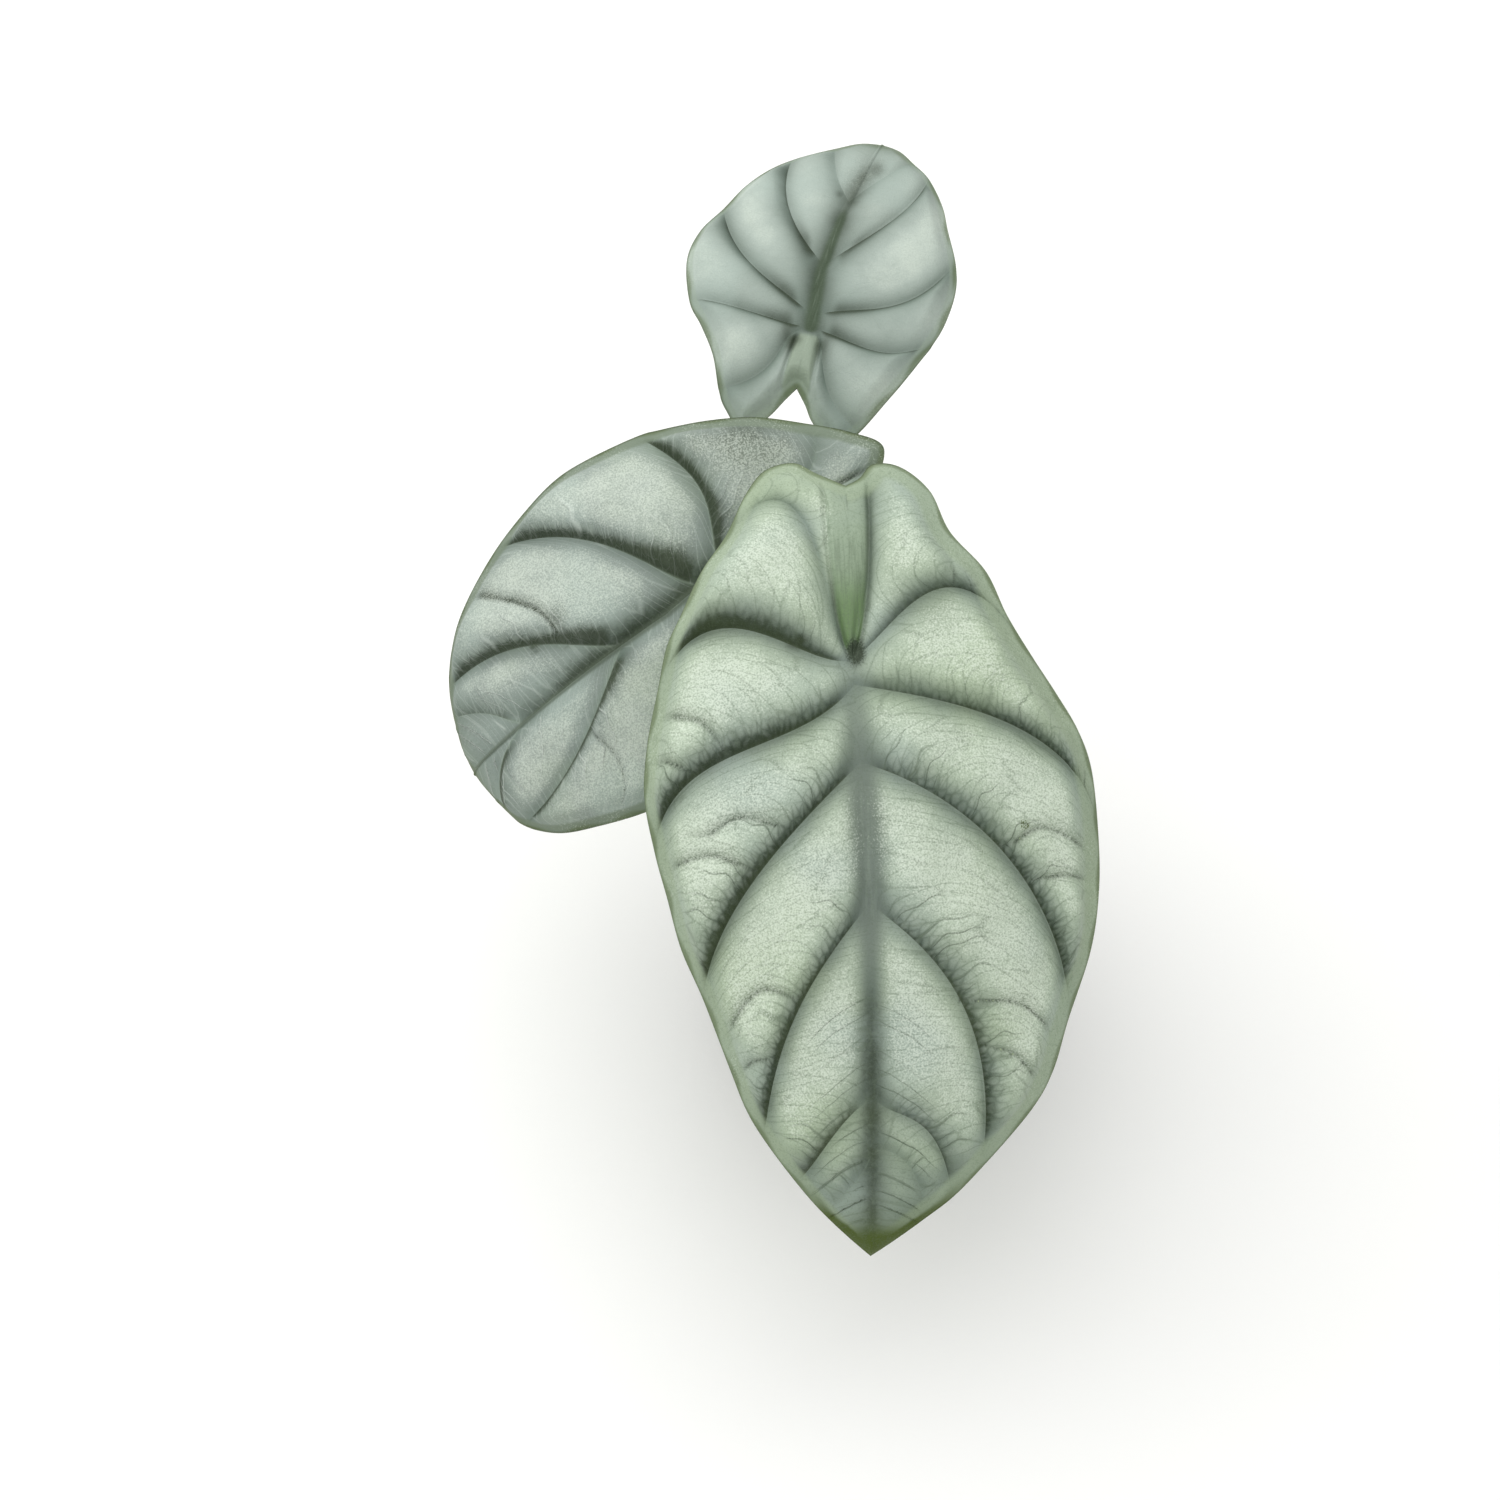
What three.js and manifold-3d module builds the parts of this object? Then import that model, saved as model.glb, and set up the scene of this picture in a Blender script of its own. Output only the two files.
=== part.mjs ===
// A potted silver dragon alocasia: three quilted leaves on their stalks, the crown that they
// grow from, the bark mix round it and a plain nursery pot.
// Millimetres, +Z up. The pot stands on z = 0 with its centre on the Z axis, and the largest
// leaf hangs towards -Y.

import * as THREE from 'three';
import { mergeVertices } from 'three/addons/utils/BufferGeometryUtils.js';
import Module from 'manifold-3d';

const wasm = await Module();
wasm.setup();

// Pot
const POT_HEIGHT = 80;
const POT_RIM_RADIUS = 45;
const POT_MOUTH_RADIUS = 43;
const POT_BASE_RADIUS = 33;
const POT_RIM_DEPTH = 8;
const POT_WALL = 1.4;
const POT_FLOOR = 1.8;
const POT_CORNER = 1.5;
const POT_RIM_BEVEL = 0.8;
const POT_SEGMENTS = 40;
const DRAIN_HOLES = 6;
const DRAIN_RADIUS = 3.5;
const DRAIN_CIRCLE = 23;
const DRAIN_SIDES = 12;

// Soil and crown
const SEAT_GAP = 0.3;
const SOIL_LEVEL = 70;
const SOIL_LUMP = 1.1;
const SOIL_SEGMENTS = 40;
const SOIL_RINGS = 8;
const CROWN_RADIUS = 8.5;
const CROWN_ROOT_Z = 52;
const CROWN_HEIGHT = 34;
const CROWN_SIDES = 24;
const CROWN_OUTLINE = [[0.8, 0], [1, 16], [0.9, 23], [0.7, 29], [0.4, 33]];

// Leaves and stalks
const BLADE_THICKNESS = 0.9;
const STALK_BASE_RADIUS = 3.4;
const STALK_TOP_RADIUS = 1.9;
const STALK_SIDES = 10;
const STALK_STEPS = 16;
const STALK_NECK = 8;

// Relief of a blade: a panel between two veins rises gently from the vein on the stalk side
// and falls steeply to the vein on the tip side
const GENTLE_RISE = 6.5;
const STEEP_RISE = 1.9;
const MIDRIB_RISE = 3.2;
const RIM_RISE = 4.5;
const RIM_ROLL = 0.9;
const BRANCH_HALF_WIDTH = 1.7;
const BRANCH_DEPTH = 0.62;
const RIM_FALL_START = 0.6;
const RIM_STEPS = 4;

// Where the last panel turns into the channel between the two lobes at the notch
const CHANNEL_START = 0.3;

// Longer than any blade, for a bend that goes on to the rim
const ENDLESS = 400;

// Where the section of a panel is cut, from its tip side to its stalk side, and where a
// line from the midrib to the rim is cut
const PANEL_CUTS = [0, 0.1, 0.28, 0.52, 0.78];
const LONG_PANEL_CUTS = [0, 0.08, 0.18, 0.3, 0.42, 0.54, 0.66, 0.78, 0.9];
const LONG_EDGE = 3;
const SPOKE_CUTS = [0, 0.06, 0.14, 0.24, 0.34, 0.45, 0.56, 0.67, 0.78, 0.87, 0.94, 1];

// Leaf patterns. x runs across the blade and y along its midrib, from the stalk joint (0, 0)
// to the tip, as if the blade were pressed flat. roots gives the y at which each pair of
// veins leaves the midrib. Each side lists its veins from the tip to the notch: via is two
// points that the vein passes, end its end at the rim, edge the rim points between it and
// the next vein, and puff the height of the panel between it and the next vein. The first
// entry of a side is the tip itself.
const FRONT_LEAF = {
  joint: [-6, -36, 160],
  heading: -87.5,
  pitch: 36,
  roll: 0,
  tipBend: { reach: 127, angle: 28 },
  baseBend: { reach: 43, angle: 24 },
  curl: { from: 115, reach: 13, angle: 8 },
  arch: { reach: 46, negative: 18, positive: 18 },
  midrib: [[0, 0], [2, 40], [1.8, 90], [1.4, 128.4]],
  notch: [0.6, -37.7],
  channelPuff: 0.9,
  rimBand: 4,
  roots: [128.4, 102, 90, 49, 20.5, 5, 0, 0],
  sides: [
    {
      veins: [
        { via: [[1.4, 128.4], [1.4, 128.4]], end: [1.4, 128.4], edge: [], puff: 0.8 },
        { via: [[6, 102.5], [10.5, 108]], end: [12.5, 119.5], edge: [], puff: 1.4 },
        { via: [[8, 94], [14.2, 99.5]], end: [18.5, 114.8], edge: [], puff: 2.8 },
        { via: [[14, 60.4], [23.4, 79]], end: [24.5, 108.8], puff: 4.2,
          edge: [[35.8, 96.3], [40.6, 88]] },
        { via: [[23.3, 33.3], [38, 53]], end: [44, 77], puff: 4.4,
          edge: [[49.2, 62.4], [51.2, 50]] },
        { via: [[21.5, 9.8], [41, 19.5]], end: [51.3, 38], puff: 4,
          edge: [[50.1, 24], [47.2, 15.4], [42.6, 7.6]] },
        { via: [[10.5, -9.5], [22.5, -14.4]], end: [38, 0.5], puff: 3.2,
          edge: [[32.6, -9], [28.6, -18.5], [21.6, -27.1], [18, -36.5], [12.2, -42.2], [6.6, -42.9]] },
        { via: [[3.2, -13], [5.4, -26]], end: [3.6, -39.5], edge: [], puff: 0.9 },
      ],
      branches: [
        [[20.1, 69.9], [29, 70.3], [35.5, 74.2], [41.5, 82.5]],
        [[23.4, 79.7], [30.5, 81.8], [37.5, 91.5]],
        [[29.4, 38.8], [37, 35.2], [45.8, 39.5], [51, 45.5]],
        [[34.2, 45.8], [42.1, 45.4], [51, 48.5]],
        [[21, -14.7], [20.8, -27.5]],
      ],
    },
    {
      veins: [
        { via: [[1.4, 128.4], [1.4, 128.4]], end: [1.4, 128.4], edge: [], puff: 0.8 },
        { via: [[-1.5, 108.4], [-4.8, 112]], end: [-8.5, 116.8], edge: [], puff: 1.4 },
        { via: [[-4.2, 95.4], [-9.2, 102.5]], end: [-14.2, 109.2], puff: 2.8, edge: [] },
        { via: [[-10.4, 66], [-17.2, 82]], end: [-20.6, 99.5], puff: 4,
          edge: [[-24.2, 92.7], [-27.3, 83.9]] },
        { via: [[-14, 35.3], [-26, 51.2]], end: [-32.4, 69], puff: 4.4,
          edge: [[-36.7, 58.3], [-39.3, 47.5]] },
        { via: [[-15, 14.8], [-31.5, 22]], end: [-41.6, 38], puff: 4.4,
          edge: [[-43.4, 26.5], [-42.4, 15.5]] },
        { via: [[-12, -3.4], [-26, -7.6]], end: [-39.6, 3.5], puff: 4.6,
          edge: [[-37.6, -4.8], [-34.6, -11], [-29.9, -20.4]] },
        { via: [[-4.4, -14.5], [-10.4, -32.4]], end: [-24.5, -28], puff: 0.9,
          edge: [[-20.2, -36.9], [-15.9, -42.5], [-9.9, -43.9], [-5.3, -41]] },
      ],
      branches: [
        [[-13.8, 67.3], [-19.5, 65.8], [-24, 69.8], [-28.5, 78.5]],
        [[-17.4, 80.6], [-22, 81], [-26, 86]],
        [[-16.1, 32.6], [-23.3, 30.8], [-29, 34]],
        [[-21.6, 41.2], [-28.8, 38.4], [-36.3, 40.5], [-40, 45]],
        [[-26.1, 17], [-31, 11.3], [-42, 10]],
        [[-32.4, 21.6], [-37.1, 19.5], [-43, 19]],
      ],
    },
  ],
};

const LEFT_LEAF = {
  joint: [-33.2, 0, 148.5],
  heading: 201,
  pitch: 27,
  roll: 24,
  tipBend: { reach: 76, angle: 32 },
  baseBend: { reach: 43, angle: 14 },
  curl: { from: 72, reach: 12, angle: 40 },
  arch: { reach: 38, negative: 14, positive: 9 },
  midrib: [[0, 0], [1.6, 14.4], [1.2, 36.1], [0.8, 83.4]],
  notch: [1.5, -38.6],
  channelPuff: 0.7,
  rimBand: 3.2,
  roots: [83.4, 57.5, 26.5, 5, 0, 0],
  sides: [
    {
      veins: [
        { via: [[0.8, 83.4], [0.8, 83.4]], end: [0.8, 83.4], edge: [[7.2, 80.3]], puff: 0.8 },
        { via: [[3.6, 67], [7.7, 72.6]], end: [13.4, 77.2], edge: [], puff: 2.4 },
        { via: [[8, 37.1], [15.5, 53]], end: [18.4, 74.2], puff: 3.4,
          edge: [[25.2, 66.1], [29.9, 55.1]] },
        { via: [[11.3, 14.9], [24.2, 25.8]], end: [33.6, 43.8], puff: 3.6,
          edge: [[35.2, 34], [35.6, 22.7]] },
        { via: [[10.3, -1.5], [22.1, -4.6]], end: [34, 2.1], puff: 3.6,
          edge: [[30.4, -8.2], [25.8, -17.5]] },
        { via: [[5.7, -12.4], [9.8, -27.8]], end: [20.6, -26.3], puff: 0.7,
          edge: [[14.9, -35], [9.3, -40.7], [4.6, -41.7]] },
      ],
      branches: [
        [[11.6, 43.1], [19.6, 41], [27.3, 43.8], [31.4, 51.5]],
      ],
    },
    {
      veins: [
        { via: [[0.8, 83.4], [0.8, 83.4]], end: [0.8, 83.4], edge: [[-6.2, 81.4]], puff: 0.8 },
        { via: [[-3.1, 61.8], [-7.7, 67]], end: [-12.4, 77.7], edge: [], puff: 2.2 },
        { via: [[-6.2, 37.5], [-14.4, 51.9]], end: [-17.7, 74.2], puff: 3.2,
          edge: [[-24.7, 68], [-30.5, 59.9]] },
        { via: [[-9.5, 11.9], [-24.4, 23.1]], end: [-36.5, 45.1], puff: 3.8,
          edge: [[-39.9, 31.9], [-41.3, 22.7], [-40.7, 14.4]] },
        { via: [[-11.3, -4.5], [-22.1, -5.4]], end: [-38.1, 1], puff: 3.8,
          edge: [[-36.1, -4.6], [-31.4, -15], [-25.8, -24.3]] },
        { via: [[-4.1, -12.4], [-7.6, -26.8]], end: [-18.5, -32.5], puff: 0.9,
          edge: [[-11.5, -39.7], [-4.9, -44]] },
      ],
      branches: [
        [[-6.8, 37.8], [-13.5, 38.2], [-21.1, 43.3], [-32.4, 56.1]],
      ],
    },
  ],
};

const BACK_LEAF = {
  joint: [-12.9, 58, 166],
  heading: 77,
  pitch: -16,
  roll: 0,
  tipBend: { reach: 62, angle: 21 },
  baseBend: { reach: 25, angle: 27 },
  curl: { from: 54, reach: 10, angle: 6 },
  arch: { reach: 31, negative: 8, positive: 8 },
  midrib: [[0, 0], [0.9, 16], [-0.4, 34], [-4, 64]],
  notch: [0.3, -14.6],
  channelPuff: 2,
  rimBand: 2.4,
  roots: [64, 38, 17.5, 3, 0, 0],
  sides: [
    {
      veins: [
        { via: [[-4, 64], [-4, 64]], end: [-4, 64], edge: [[1.2, 63.2]], puff: 0.6 },
        { via: [[2, 43], [4.5, 49]], end: [6.8, 59], edge: [], puff: 1.5 },
        { via: [[7.2, 25], [13.4, 36.5]], end: [15.4, 52.7], puff: 2.6,
          edge: [[20.5, 47.6], [24.6, 41]] },
        { via: [[9.8, 9.8], [20, 18.4]], end: [27.8, 33], puff: 2.7,
          edge: [[31.6, 25.2], [32.6, 16]] },
        { via: [[9, 1.1], [18.7, 3.1]], end: [29.2, 4.4], puff: 2.5,
          edge: [[25, -2], [20.6, -9.4]] },
        { via: [[4.8, -4], [7.6, -11]], end: [17.6, -17.6], puff: 2,
          edge: [[15.4, -21.6], [10.4, -26.4], [5.4, -22], [2.4, -17.6]] },
      ],
      branches: [],
    },
    {
      veins: [
        { via: [[-4, 64], [-4, 64]], end: [-4, 64], edge: [[-8.2, 62.2]], puff: 0.6 },
        { via: [[-3.4, 43], [-7, 49]], end: [-12.4, 57.6], edge: [], puff: 1.5 },
        { via: [[-5.9, 26.1], [-13.4, 37.8]], end: [-17, 52.6], puff: 2.6,
          edge: [[-21.8, 43.8], [-24.6, 35.8]] },
        { via: [[-9, 6.6], [-19.4, 11.4]], end: [-28.2, 26], puff: 2.7,
          edge: [[-29.6, 18], [-29, 9]] },
        { via: [[-9.2, -2], [-18, -3]], end: [-27.2, 2], puff: 2.5,
          edge: [[-23.5, -7], [-20, -13.9]] },
        { via: [[-3.6, -5.4], [-6.4, -13.6]], end: [-15, -22.4], puff: 2,
          edge: [[-10.4, -26.6], [-4.8, -22], [-2.2, -18]] },
      ],
      branches: [],
    },
  ],
};

// Stalk routes, from inside the crown to the joint under each blade
const FRONT_STALK = [[-0.5, -3.5, 78], [-1.5, -8.5, 92], [-4, -18, 118], [-5.8, -27.5, 144]];
const LEFT_STALK = [[-3.5, 1, 78], [-8, 2.4, 92], [-19.5, 5.6, 115], [-29.6, 7.6, 136]];
const BACK_STALK = [[1.5, 3, 78], [3, 9, 92], [1, 26, 119], [-7.4, 46.5, 145]];

const SILVER = { color: 0xb4c2b1, roughness: 0.5, metalness: 0 };
const SILVER_GREY = { color: 0xa9b5ac, roughness: 0.5, metalness: 0 };
const STALK_GREEN = { color: 0x8fa46b, roughness: 0.45, metalness: 0 };
const CROWN_GREEN = { color: 0x7d8f55, roughness: 0.55, metalness: 0 };
const BARK_BROWN = { color: 0x4a3527, roughness: 0.95, metalness: 0 };
const POT_CHARCOAL = { color: 0x2e3032, roughness: 0.55, metalness: 0 };

function radians(degrees) {
  return degrees * Math.PI / 180;
}

function closedGeometry(positions, triangles) {
  const geometry = new THREE.BufferGeometry();
  geometry.setAttribute('position', new THREE.Float32BufferAttribute(positions, 3));
  geometry.setIndex(triangles);
  geometry.computeVertexNormals();
  return geometry;
}

function toSolid(geometry) {
  const bare = geometry.clone();
  bare.deleteAttribute('normal');
  bare.deleteAttribute('uv');
  const welded = mergeVertices(bare, 1e-4);
  const kept = [];
  const index = welded.index.array;
  for (let i = 0; i < index.length; i += 3) {
    const corners = [index[i], index[i + 1], index[i + 2]];
    if (new Set(corners).size === 3) kept.push(...corners);
  }
  return new wasm.Manifold(new wasm.Mesh({
    numProp: 3,
    vertProperties: new Float32Array(welded.attributes.position.array),
    triVerts: new Uint32Array(kept),
  }));
}

function toGeometry(solid) {
  const mesh = solid.getMesh();
  return closedGeometry(Array.from(mesh.vertProperties), Array.from(mesh.triVerts));
}

function namedMesh(name, geometry, finish) {
  const mesh = new THREE.Mesh(geometry, new THREE.MeshStandardMaterial(finish));
  mesh.name = name;
  return mesh;
}

// Blades

function bladeAxes({ heading, pitch, roll }) {
  const a = radians(heading);
  const p = radians(pitch);
  const along = new THREE.Vector3(
    Math.cos(p) * Math.cos(a), Math.cos(p) * Math.sin(a), -Math.sin(p));
  const level = new THREE.Vector3(
    Math.sin(p) * Math.cos(a), Math.sin(p) * Math.sin(a), Math.cos(p));
  const sideways = new THREE.Vector3().crossVectors(level, along);
  const up = level.clone().multiplyScalar(Math.cos(radians(roll)))
    .addScaledVector(sideways, Math.sin(radians(roll)));
  const across = sideways.clone().multiplyScalar(Math.cos(radians(roll)))
    .addScaledVector(level, -Math.sin(radians(roll)));
  return { along, up, across };
}

// How far a blade has gone forward and down at the distance y from the joint, and how far
// it has turned there, when it bends evenly over each stretch of [length, angle]
function followBend(y, stretches) {
  let forward = 0;
  let down = 0;
  let turned = 0;
  let left = Math.abs(y);
  for (const [length, angle] of stretches) {
    const step = Math.min(left, length);
    const curvature = radians(angle) / length;
    const next = turned + curvature * step;
    forward += (Math.sin(next) - Math.sin(turned)) / curvature;
    down += (Math.cos(turned) - Math.cos(next)) / curvature;
    turned = next;
    left -= step;
  }
  return { forward: Math.sign(y) * forward, down, turned: Math.sign(y) * turned };
}

// The smooth blade under the relief: its point and its upward normal at the pattern's (x, y)
function bladePlace(leaf, axes, x, y) {
  const { tipBend, baseBend, curl, arch } = leaf;
  const tipRate = tipBend.angle / tipBend.reach;
  const stretches = y < 0
    ? [[ENDLESS, ENDLESS * baseBend.angle / baseBend.reach]]
    : [[curl.from, curl.from * tipRate],
      [ENDLESS, ENDLESS * (tipRate + curl.angle / curl.reach)]];
  const { forward, down, turned } = followBend(y, stretches);
  const normal = axes.up.clone().multiplyScalar(Math.cos(turned))
    .addScaledVector(axes.along, Math.sin(turned));
  const rate = radians(x < 0 ? arch.negative : arch.positive) / arch.reach;
  const lean = rate * x;
  const point = new THREE.Vector3(...leaf.joint)
    .addScaledVector(axes.along, forward)
    .addScaledVector(axes.up, -down)
    .addScaledVector(axes.across, Math.sin(lean) / rate)
    .addScaledVector(normal, (Math.cos(lean) - 1) / rate);
  const upward = normal.multiplyScalar(Math.cos(lean)).addScaledVector(axes.across, Math.sin(lean));
  return { point, upward };
}

function distanceToLine(x, y, line) {
  let nearest = Infinity;
  for (let i = 1; i < line.length; i += 1) {
    const [ax, ay] = line[i - 1];
    const dx = line[i][0] - ax;
    const dy = line[i][1] - ay;
    const length2 = dx * dx + dy * dy || 1;
    const k = THREE.MathUtils.clamp(((x - ax) * dx + (y - ay) * dy) / length2, 0, 1);
    nearest = Math.min(nearest, Math.hypot(ax + k * dx - x, ay + k * dy - y));
  }
  return nearest;
}

function mix(a, b, k) {
  return [a[0] * (1 - k) + b[0] * k, a[1] * (1 - k) + b[1] * k];
}

function midribAt(leaf, y) {
  const spine = leaf.midrib;
  let i = 1;
  while (i < spine.length - 1 && y > spine[i][1]) i += 1;
  const k = (y - spine[i - 1][1]) / (spine[i][1] - spine[i - 1][1]);
  return mix(spine[i - 1], spine[i], k);
}

// The rim of one side as a smooth curve from the tip to the notch, and the place of each
// vein's end on it
function sideRim(leaf, side) {
  const points = [];
  const stops = [];
  for (const vein of side.veins) {
    stops.push(points.length);
    points.push(vein.end, ...vein.edge);
  }
  stops.push(points.length);
  points.push(leaf.notch);
  const curve = new THREE.SplineCurve(points.map(([x, y]) => new THREE.Vector2(x, y)));
  const last = points.length - 1;
  return { stops, at: (place) => curve.getPoint(place / last).toArray() };
}

// A curve through four points at even steps
function throughFour(a, b, c, d, t) {
  const wa = -4.5 * (t - 1 / 3) * (t - 2 / 3) * (t - 1);
  const wb = 13.5 * t * (t - 2 / 3) * (t - 1);
  const wc = -13.5 * t * (t - 1 / 3) * (t - 1);
  const wd = 4.5 * t * (t - 1 / 3) * (t - 2 / 3);
  return [0, 1].map((i) => wa * a[i] + wb * b[i] + wc * c[i] + wd * d[i]);
}

// Every vein of a side with its place on the midrib and on the rim, then the fold that
// runs from the joint to the notch
function sideVeins(leaf, side, rim) {
  const fold = { via: [mix([0, 0], leaf.notch, 1 / 3), mix([0, 0], leaf.notch, 2 / 3)] };
  return [...side.veins, fold].map((vein, i) => ({
    root: leaf.roots[i] ?? 0,
    via: vein.via,
    stop: rim.stops[i],
    puff: vein.puff,
  }));
}

// The pattern's (x, y) at the share u of a panel, from its tip side to its stalk side, and
// the share t of the way from the midrib to the rim
function patternPoint({ leaf, rim, veins }, panel, u, t) {
  const tipSide = veins[panel];
  const stalkSide = veins[panel + 1];
  const root = midribAt(leaf, tipSide.root + (stalkSide.root - tipSide.root) * u);
  const end = rim.at(tipSide.stop + (stalkSide.stop - tipSide.stop) * u);
  return throughFour(root, mix(tipSide.via[0], stalkSide.via[0], u),
    mix(tipSide.via[1], stalkSide.via[1], u), end, t);
}

function panelHeight(half, panel, u, t) {
  const { leaf, side, veins, outlines } = half;
  const [x, y] = patternPoint(half, panel, u, t);
  const [ax, ay] = patternPoint(half, panel, 0, t);
  const [bx, by] = patternPoint(half, panel, 1, t);
  const steep = 1 - Math.exp(-Math.hypot(x - ax, y - ay) / STEEP_RISE);
  const gentle = 1 - Math.exp(-Math.hypot(x - bx, y - by) / GENTLE_RISE);
  let height = veins[panel].puff * steep * gentle;
  if (panel === veins.length - 2) {
    const share = THREE.MathUtils.smoothstep(u, CHANNEL_START, 1);
    height = veins[panel].puff * steep * (1 - share) + leaf.channelPuff * share;
  }
  for (const branch of side.branches) {
    height *= 1 - BRANCH_DEPTH * Math.exp(-distanceToLine(x, y, branch) / BRANCH_HALF_WIDTH);
  }
  const fromMidrib = distanceToLine(x, y, leaf.midrib);
  const fromRim = Math.min(...outlines.map((line) => distanceToLine(x, y, line)));
  const rise = 1 - Math.exp(-fromMidrib / MIDRIB_RISE);
  const fall = THREE.MathUtils.smoothstep(
    fromRim, leaf.rimBand * RIM_FALL_START, leaf.rimBand + RIM_RISE);
  const roll = Math.max(0, 1 - fromRim / leaf.rimBand) ** 2;
  return height * rise * fall - RIM_ROLL * roll;
}

function bladeGeometry(leaf) {
  const axes = bladeAxes(leaf);
  const rims = leaf.sides.map((side) => sideRim(leaf, side));
  const outlines = rims.map((rim) => {
    const last = rim.stops.at(-1);
    return Array.from({ length: last * RIM_STEPS + 1 }, (_, i) => rim.at(i / RIM_STEPS));
  });
  const flat = [];
  const top = [];
  const found = new Map();
  const triangles = [];
  leaf.sides.forEach((side, which) => {
    const rim = rims[which];
    const veins = sideVeins(leaf, side, rim);
    const half = { leaf, side, rim, veins, outlines };
    const spokes = [];
    for (let panel = 0; panel < veins.length - 1; panel += 1) {
      const long = leaf.sides.some(({ veins: all }) => all[panel].edge.length >= LONG_EDGE);
      for (const u of long ? LONG_PANEL_CUTS : PANEL_CUTS) spokes.push([panel, u]);
    }
    spokes.push([veins.length - 2, 1]);
    const grid = spokes.map(([panel, u]) => SPOKE_CUTS.map((t) => {
      const [x, y] = patternPoint(half, panel, u, t);
      const key = `${Math.round(x * 1000)} ${Math.round(y * 1000)}`;
      if (!found.has(key)) {
        const { point, upward } = bladePlace(leaf, axes, x, y);
        point.addScaledVector(upward, panelHeight(half, panel, u, t));
        found.set(key, flat.length);
        flat.push([x, y]);
        top.push(point);
      }
      return found.get(key);
    }));
    for (let i = 1; i < grid.length; i += 1) {
      for (let j = 1; j < SPOKE_CUTS.length; j += 1) {
        const [a, b, c, d] = [grid[i - 1][j - 1], grid[i][j - 1], grid[i][j], grid[i - 1][j]];
        for (const corners of [[a, b, c], [a, c, d]]) {
          if (new Set(corners).size === 3) triangles.push(faceUp(corners, flat));
        }
      }
    }
  });
  return thickened(top, triangles, BLADE_THICKNESS);
}

// Orders a triangle's corners so that its outer side is the blade's upper face
function faceUp([a, b, c], flat) {
  const area = (flat[b][0] - flat[a][0]) * (flat[c][1] - flat[a][1])
    - (flat[c][0] - flat[a][0]) * (flat[b][1] - flat[a][1]);
  return area < 0 ? [a, b, c] : [a, c, b];
}

// A closed sheet: the upper face, the same face moved down along its normals, and the rim
function thickened(top, triangles, thickness) {
  const normals = top.map(() => new THREE.Vector3());
  for (const [a, b, c] of triangles) {
    const first = new THREE.Vector3().subVectors(top[b], top[a]);
    const face = first.cross(new THREE.Vector3().subVectors(top[c], top[a]));
    for (const corner of [a, b, c]) normals[corner].add(face);
  }
  const count = top.length;
  const bottom = top.map((point, i) => point.clone()
    .addScaledVector(normals[i].normalize(), -thickness));
  const faces = triangles.flatMap(([a, b, c]) => [a, b, c, a + count, c + count, b + count]);
  const edges = new Set(triangles.flatMap(([a, b, c]) => [`${a} ${b}`, `${b} ${c}`, `${c} ${a}`]));
  for (const edge of edges) {
    const [a, b] = edge.split(' ').map(Number);
    if (!edges.has(`${b} ${a}`)) faces.push(b, a, a + count, b, a + count, b + count);
  }
  return closedGeometry([...top, ...bottom].flatMap((point) => point.toArray()), faces);
}

// Stalks: round, tapered and closed, ending just under the blade's joint
function stalkGeometry(leaf, route) {
  const { up } = bladeAxes(leaf);
  const joint = new THREE.Vector3(...leaf.joint);
  const points = route.map((place) => new THREE.Vector3(...place));
  points.push(joint.clone().addScaledVector(up, -(BLADE_THICKNESS + STALK_NECK)));
  points.push(joint.clone().addScaledVector(up, -(BLADE_THICKNESS + SEAT_GAP)));
  const curve = new THREE.CatmullRomCurve3(points);
  const sideways = new THREE.Vector3(0, 1, 0);
  const rings = [];
  for (let i = 0; i <= STALK_STEPS; i += 1) {
    const k = i / STALK_STEPS;
    const centre = curve.getPointAt(k);
    const forward = i === STALK_STEPS ? up : curve.getTangentAt(k);
    const across = new THREE.Vector3().crossVectors(sideways, forward).normalize();
    const other = new THREE.Vector3().crossVectors(forward, across);
    const radius = STALK_BASE_RADIUS + (STALK_TOP_RADIUS - STALK_BASE_RADIUS) * Math.sqrt(k);
    rings.push(Array.from({ length: STALK_SIDES }, (_, j) => {
      const turn = 2 * Math.PI * j / STALK_SIDES;
      return centre.clone()
        .addScaledVector(across, radius * Math.cos(turn))
        .addScaledVector(other, radius * Math.sin(turn));
    }));
  }
  return skinned(rings);
}

// A closed skin over rings of points that all have the same count, with flat ends
function skinned(rings) {
  const sides = rings[0].length;
  const faces = [];
  for (let i = 1; i < rings.length; i += 1) {
    for (let j = 0; j < sides; j += 1) {
      const next = (j + 1) % sides;
      const [a, b] = [(i - 1) * sides + j, (i - 1) * sides + next];
      const [c, d] = [i * sides + next, i * sides + j];
      faces.push(a, b, c, a, c, d);
    }
  }
  const last = (rings.length - 1) * sides;
  for (let j = 1; j < sides - 1; j += 1) {
    faces.push(0, j + 1, j, last, last + j, last + j + 1);
  }
  return closedGeometry(rings.flat().flatMap((point) => point.toArray()), faces);
}

// Crown: the sheathed stalk bases, close together round the growing tip, or the room that
// they take with a gap all round
function crownGeometry(grow) {
  const side = CROWN_OUTLINE.map(([share, rise]) => [
    CROWN_RADIUS * share + grow,
    CROWN_ROOT_Z + rise + (rise === 0 ? -grow : grow * rise / CROWN_HEIGHT),
  ]);
  const profile = [
    [0, CROWN_ROOT_Z - grow],
    ...side,
    [0, CROWN_ROOT_Z + CROWN_HEIGHT + grow],
  ];
  const lathe = new THREE.LatheGeometry(
    profile.map(([radius, z]) => new THREE.Vector2(radius, z)), CROWN_SIDES);
  return lathe.rotateX(Math.PI / 2);
}

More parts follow.
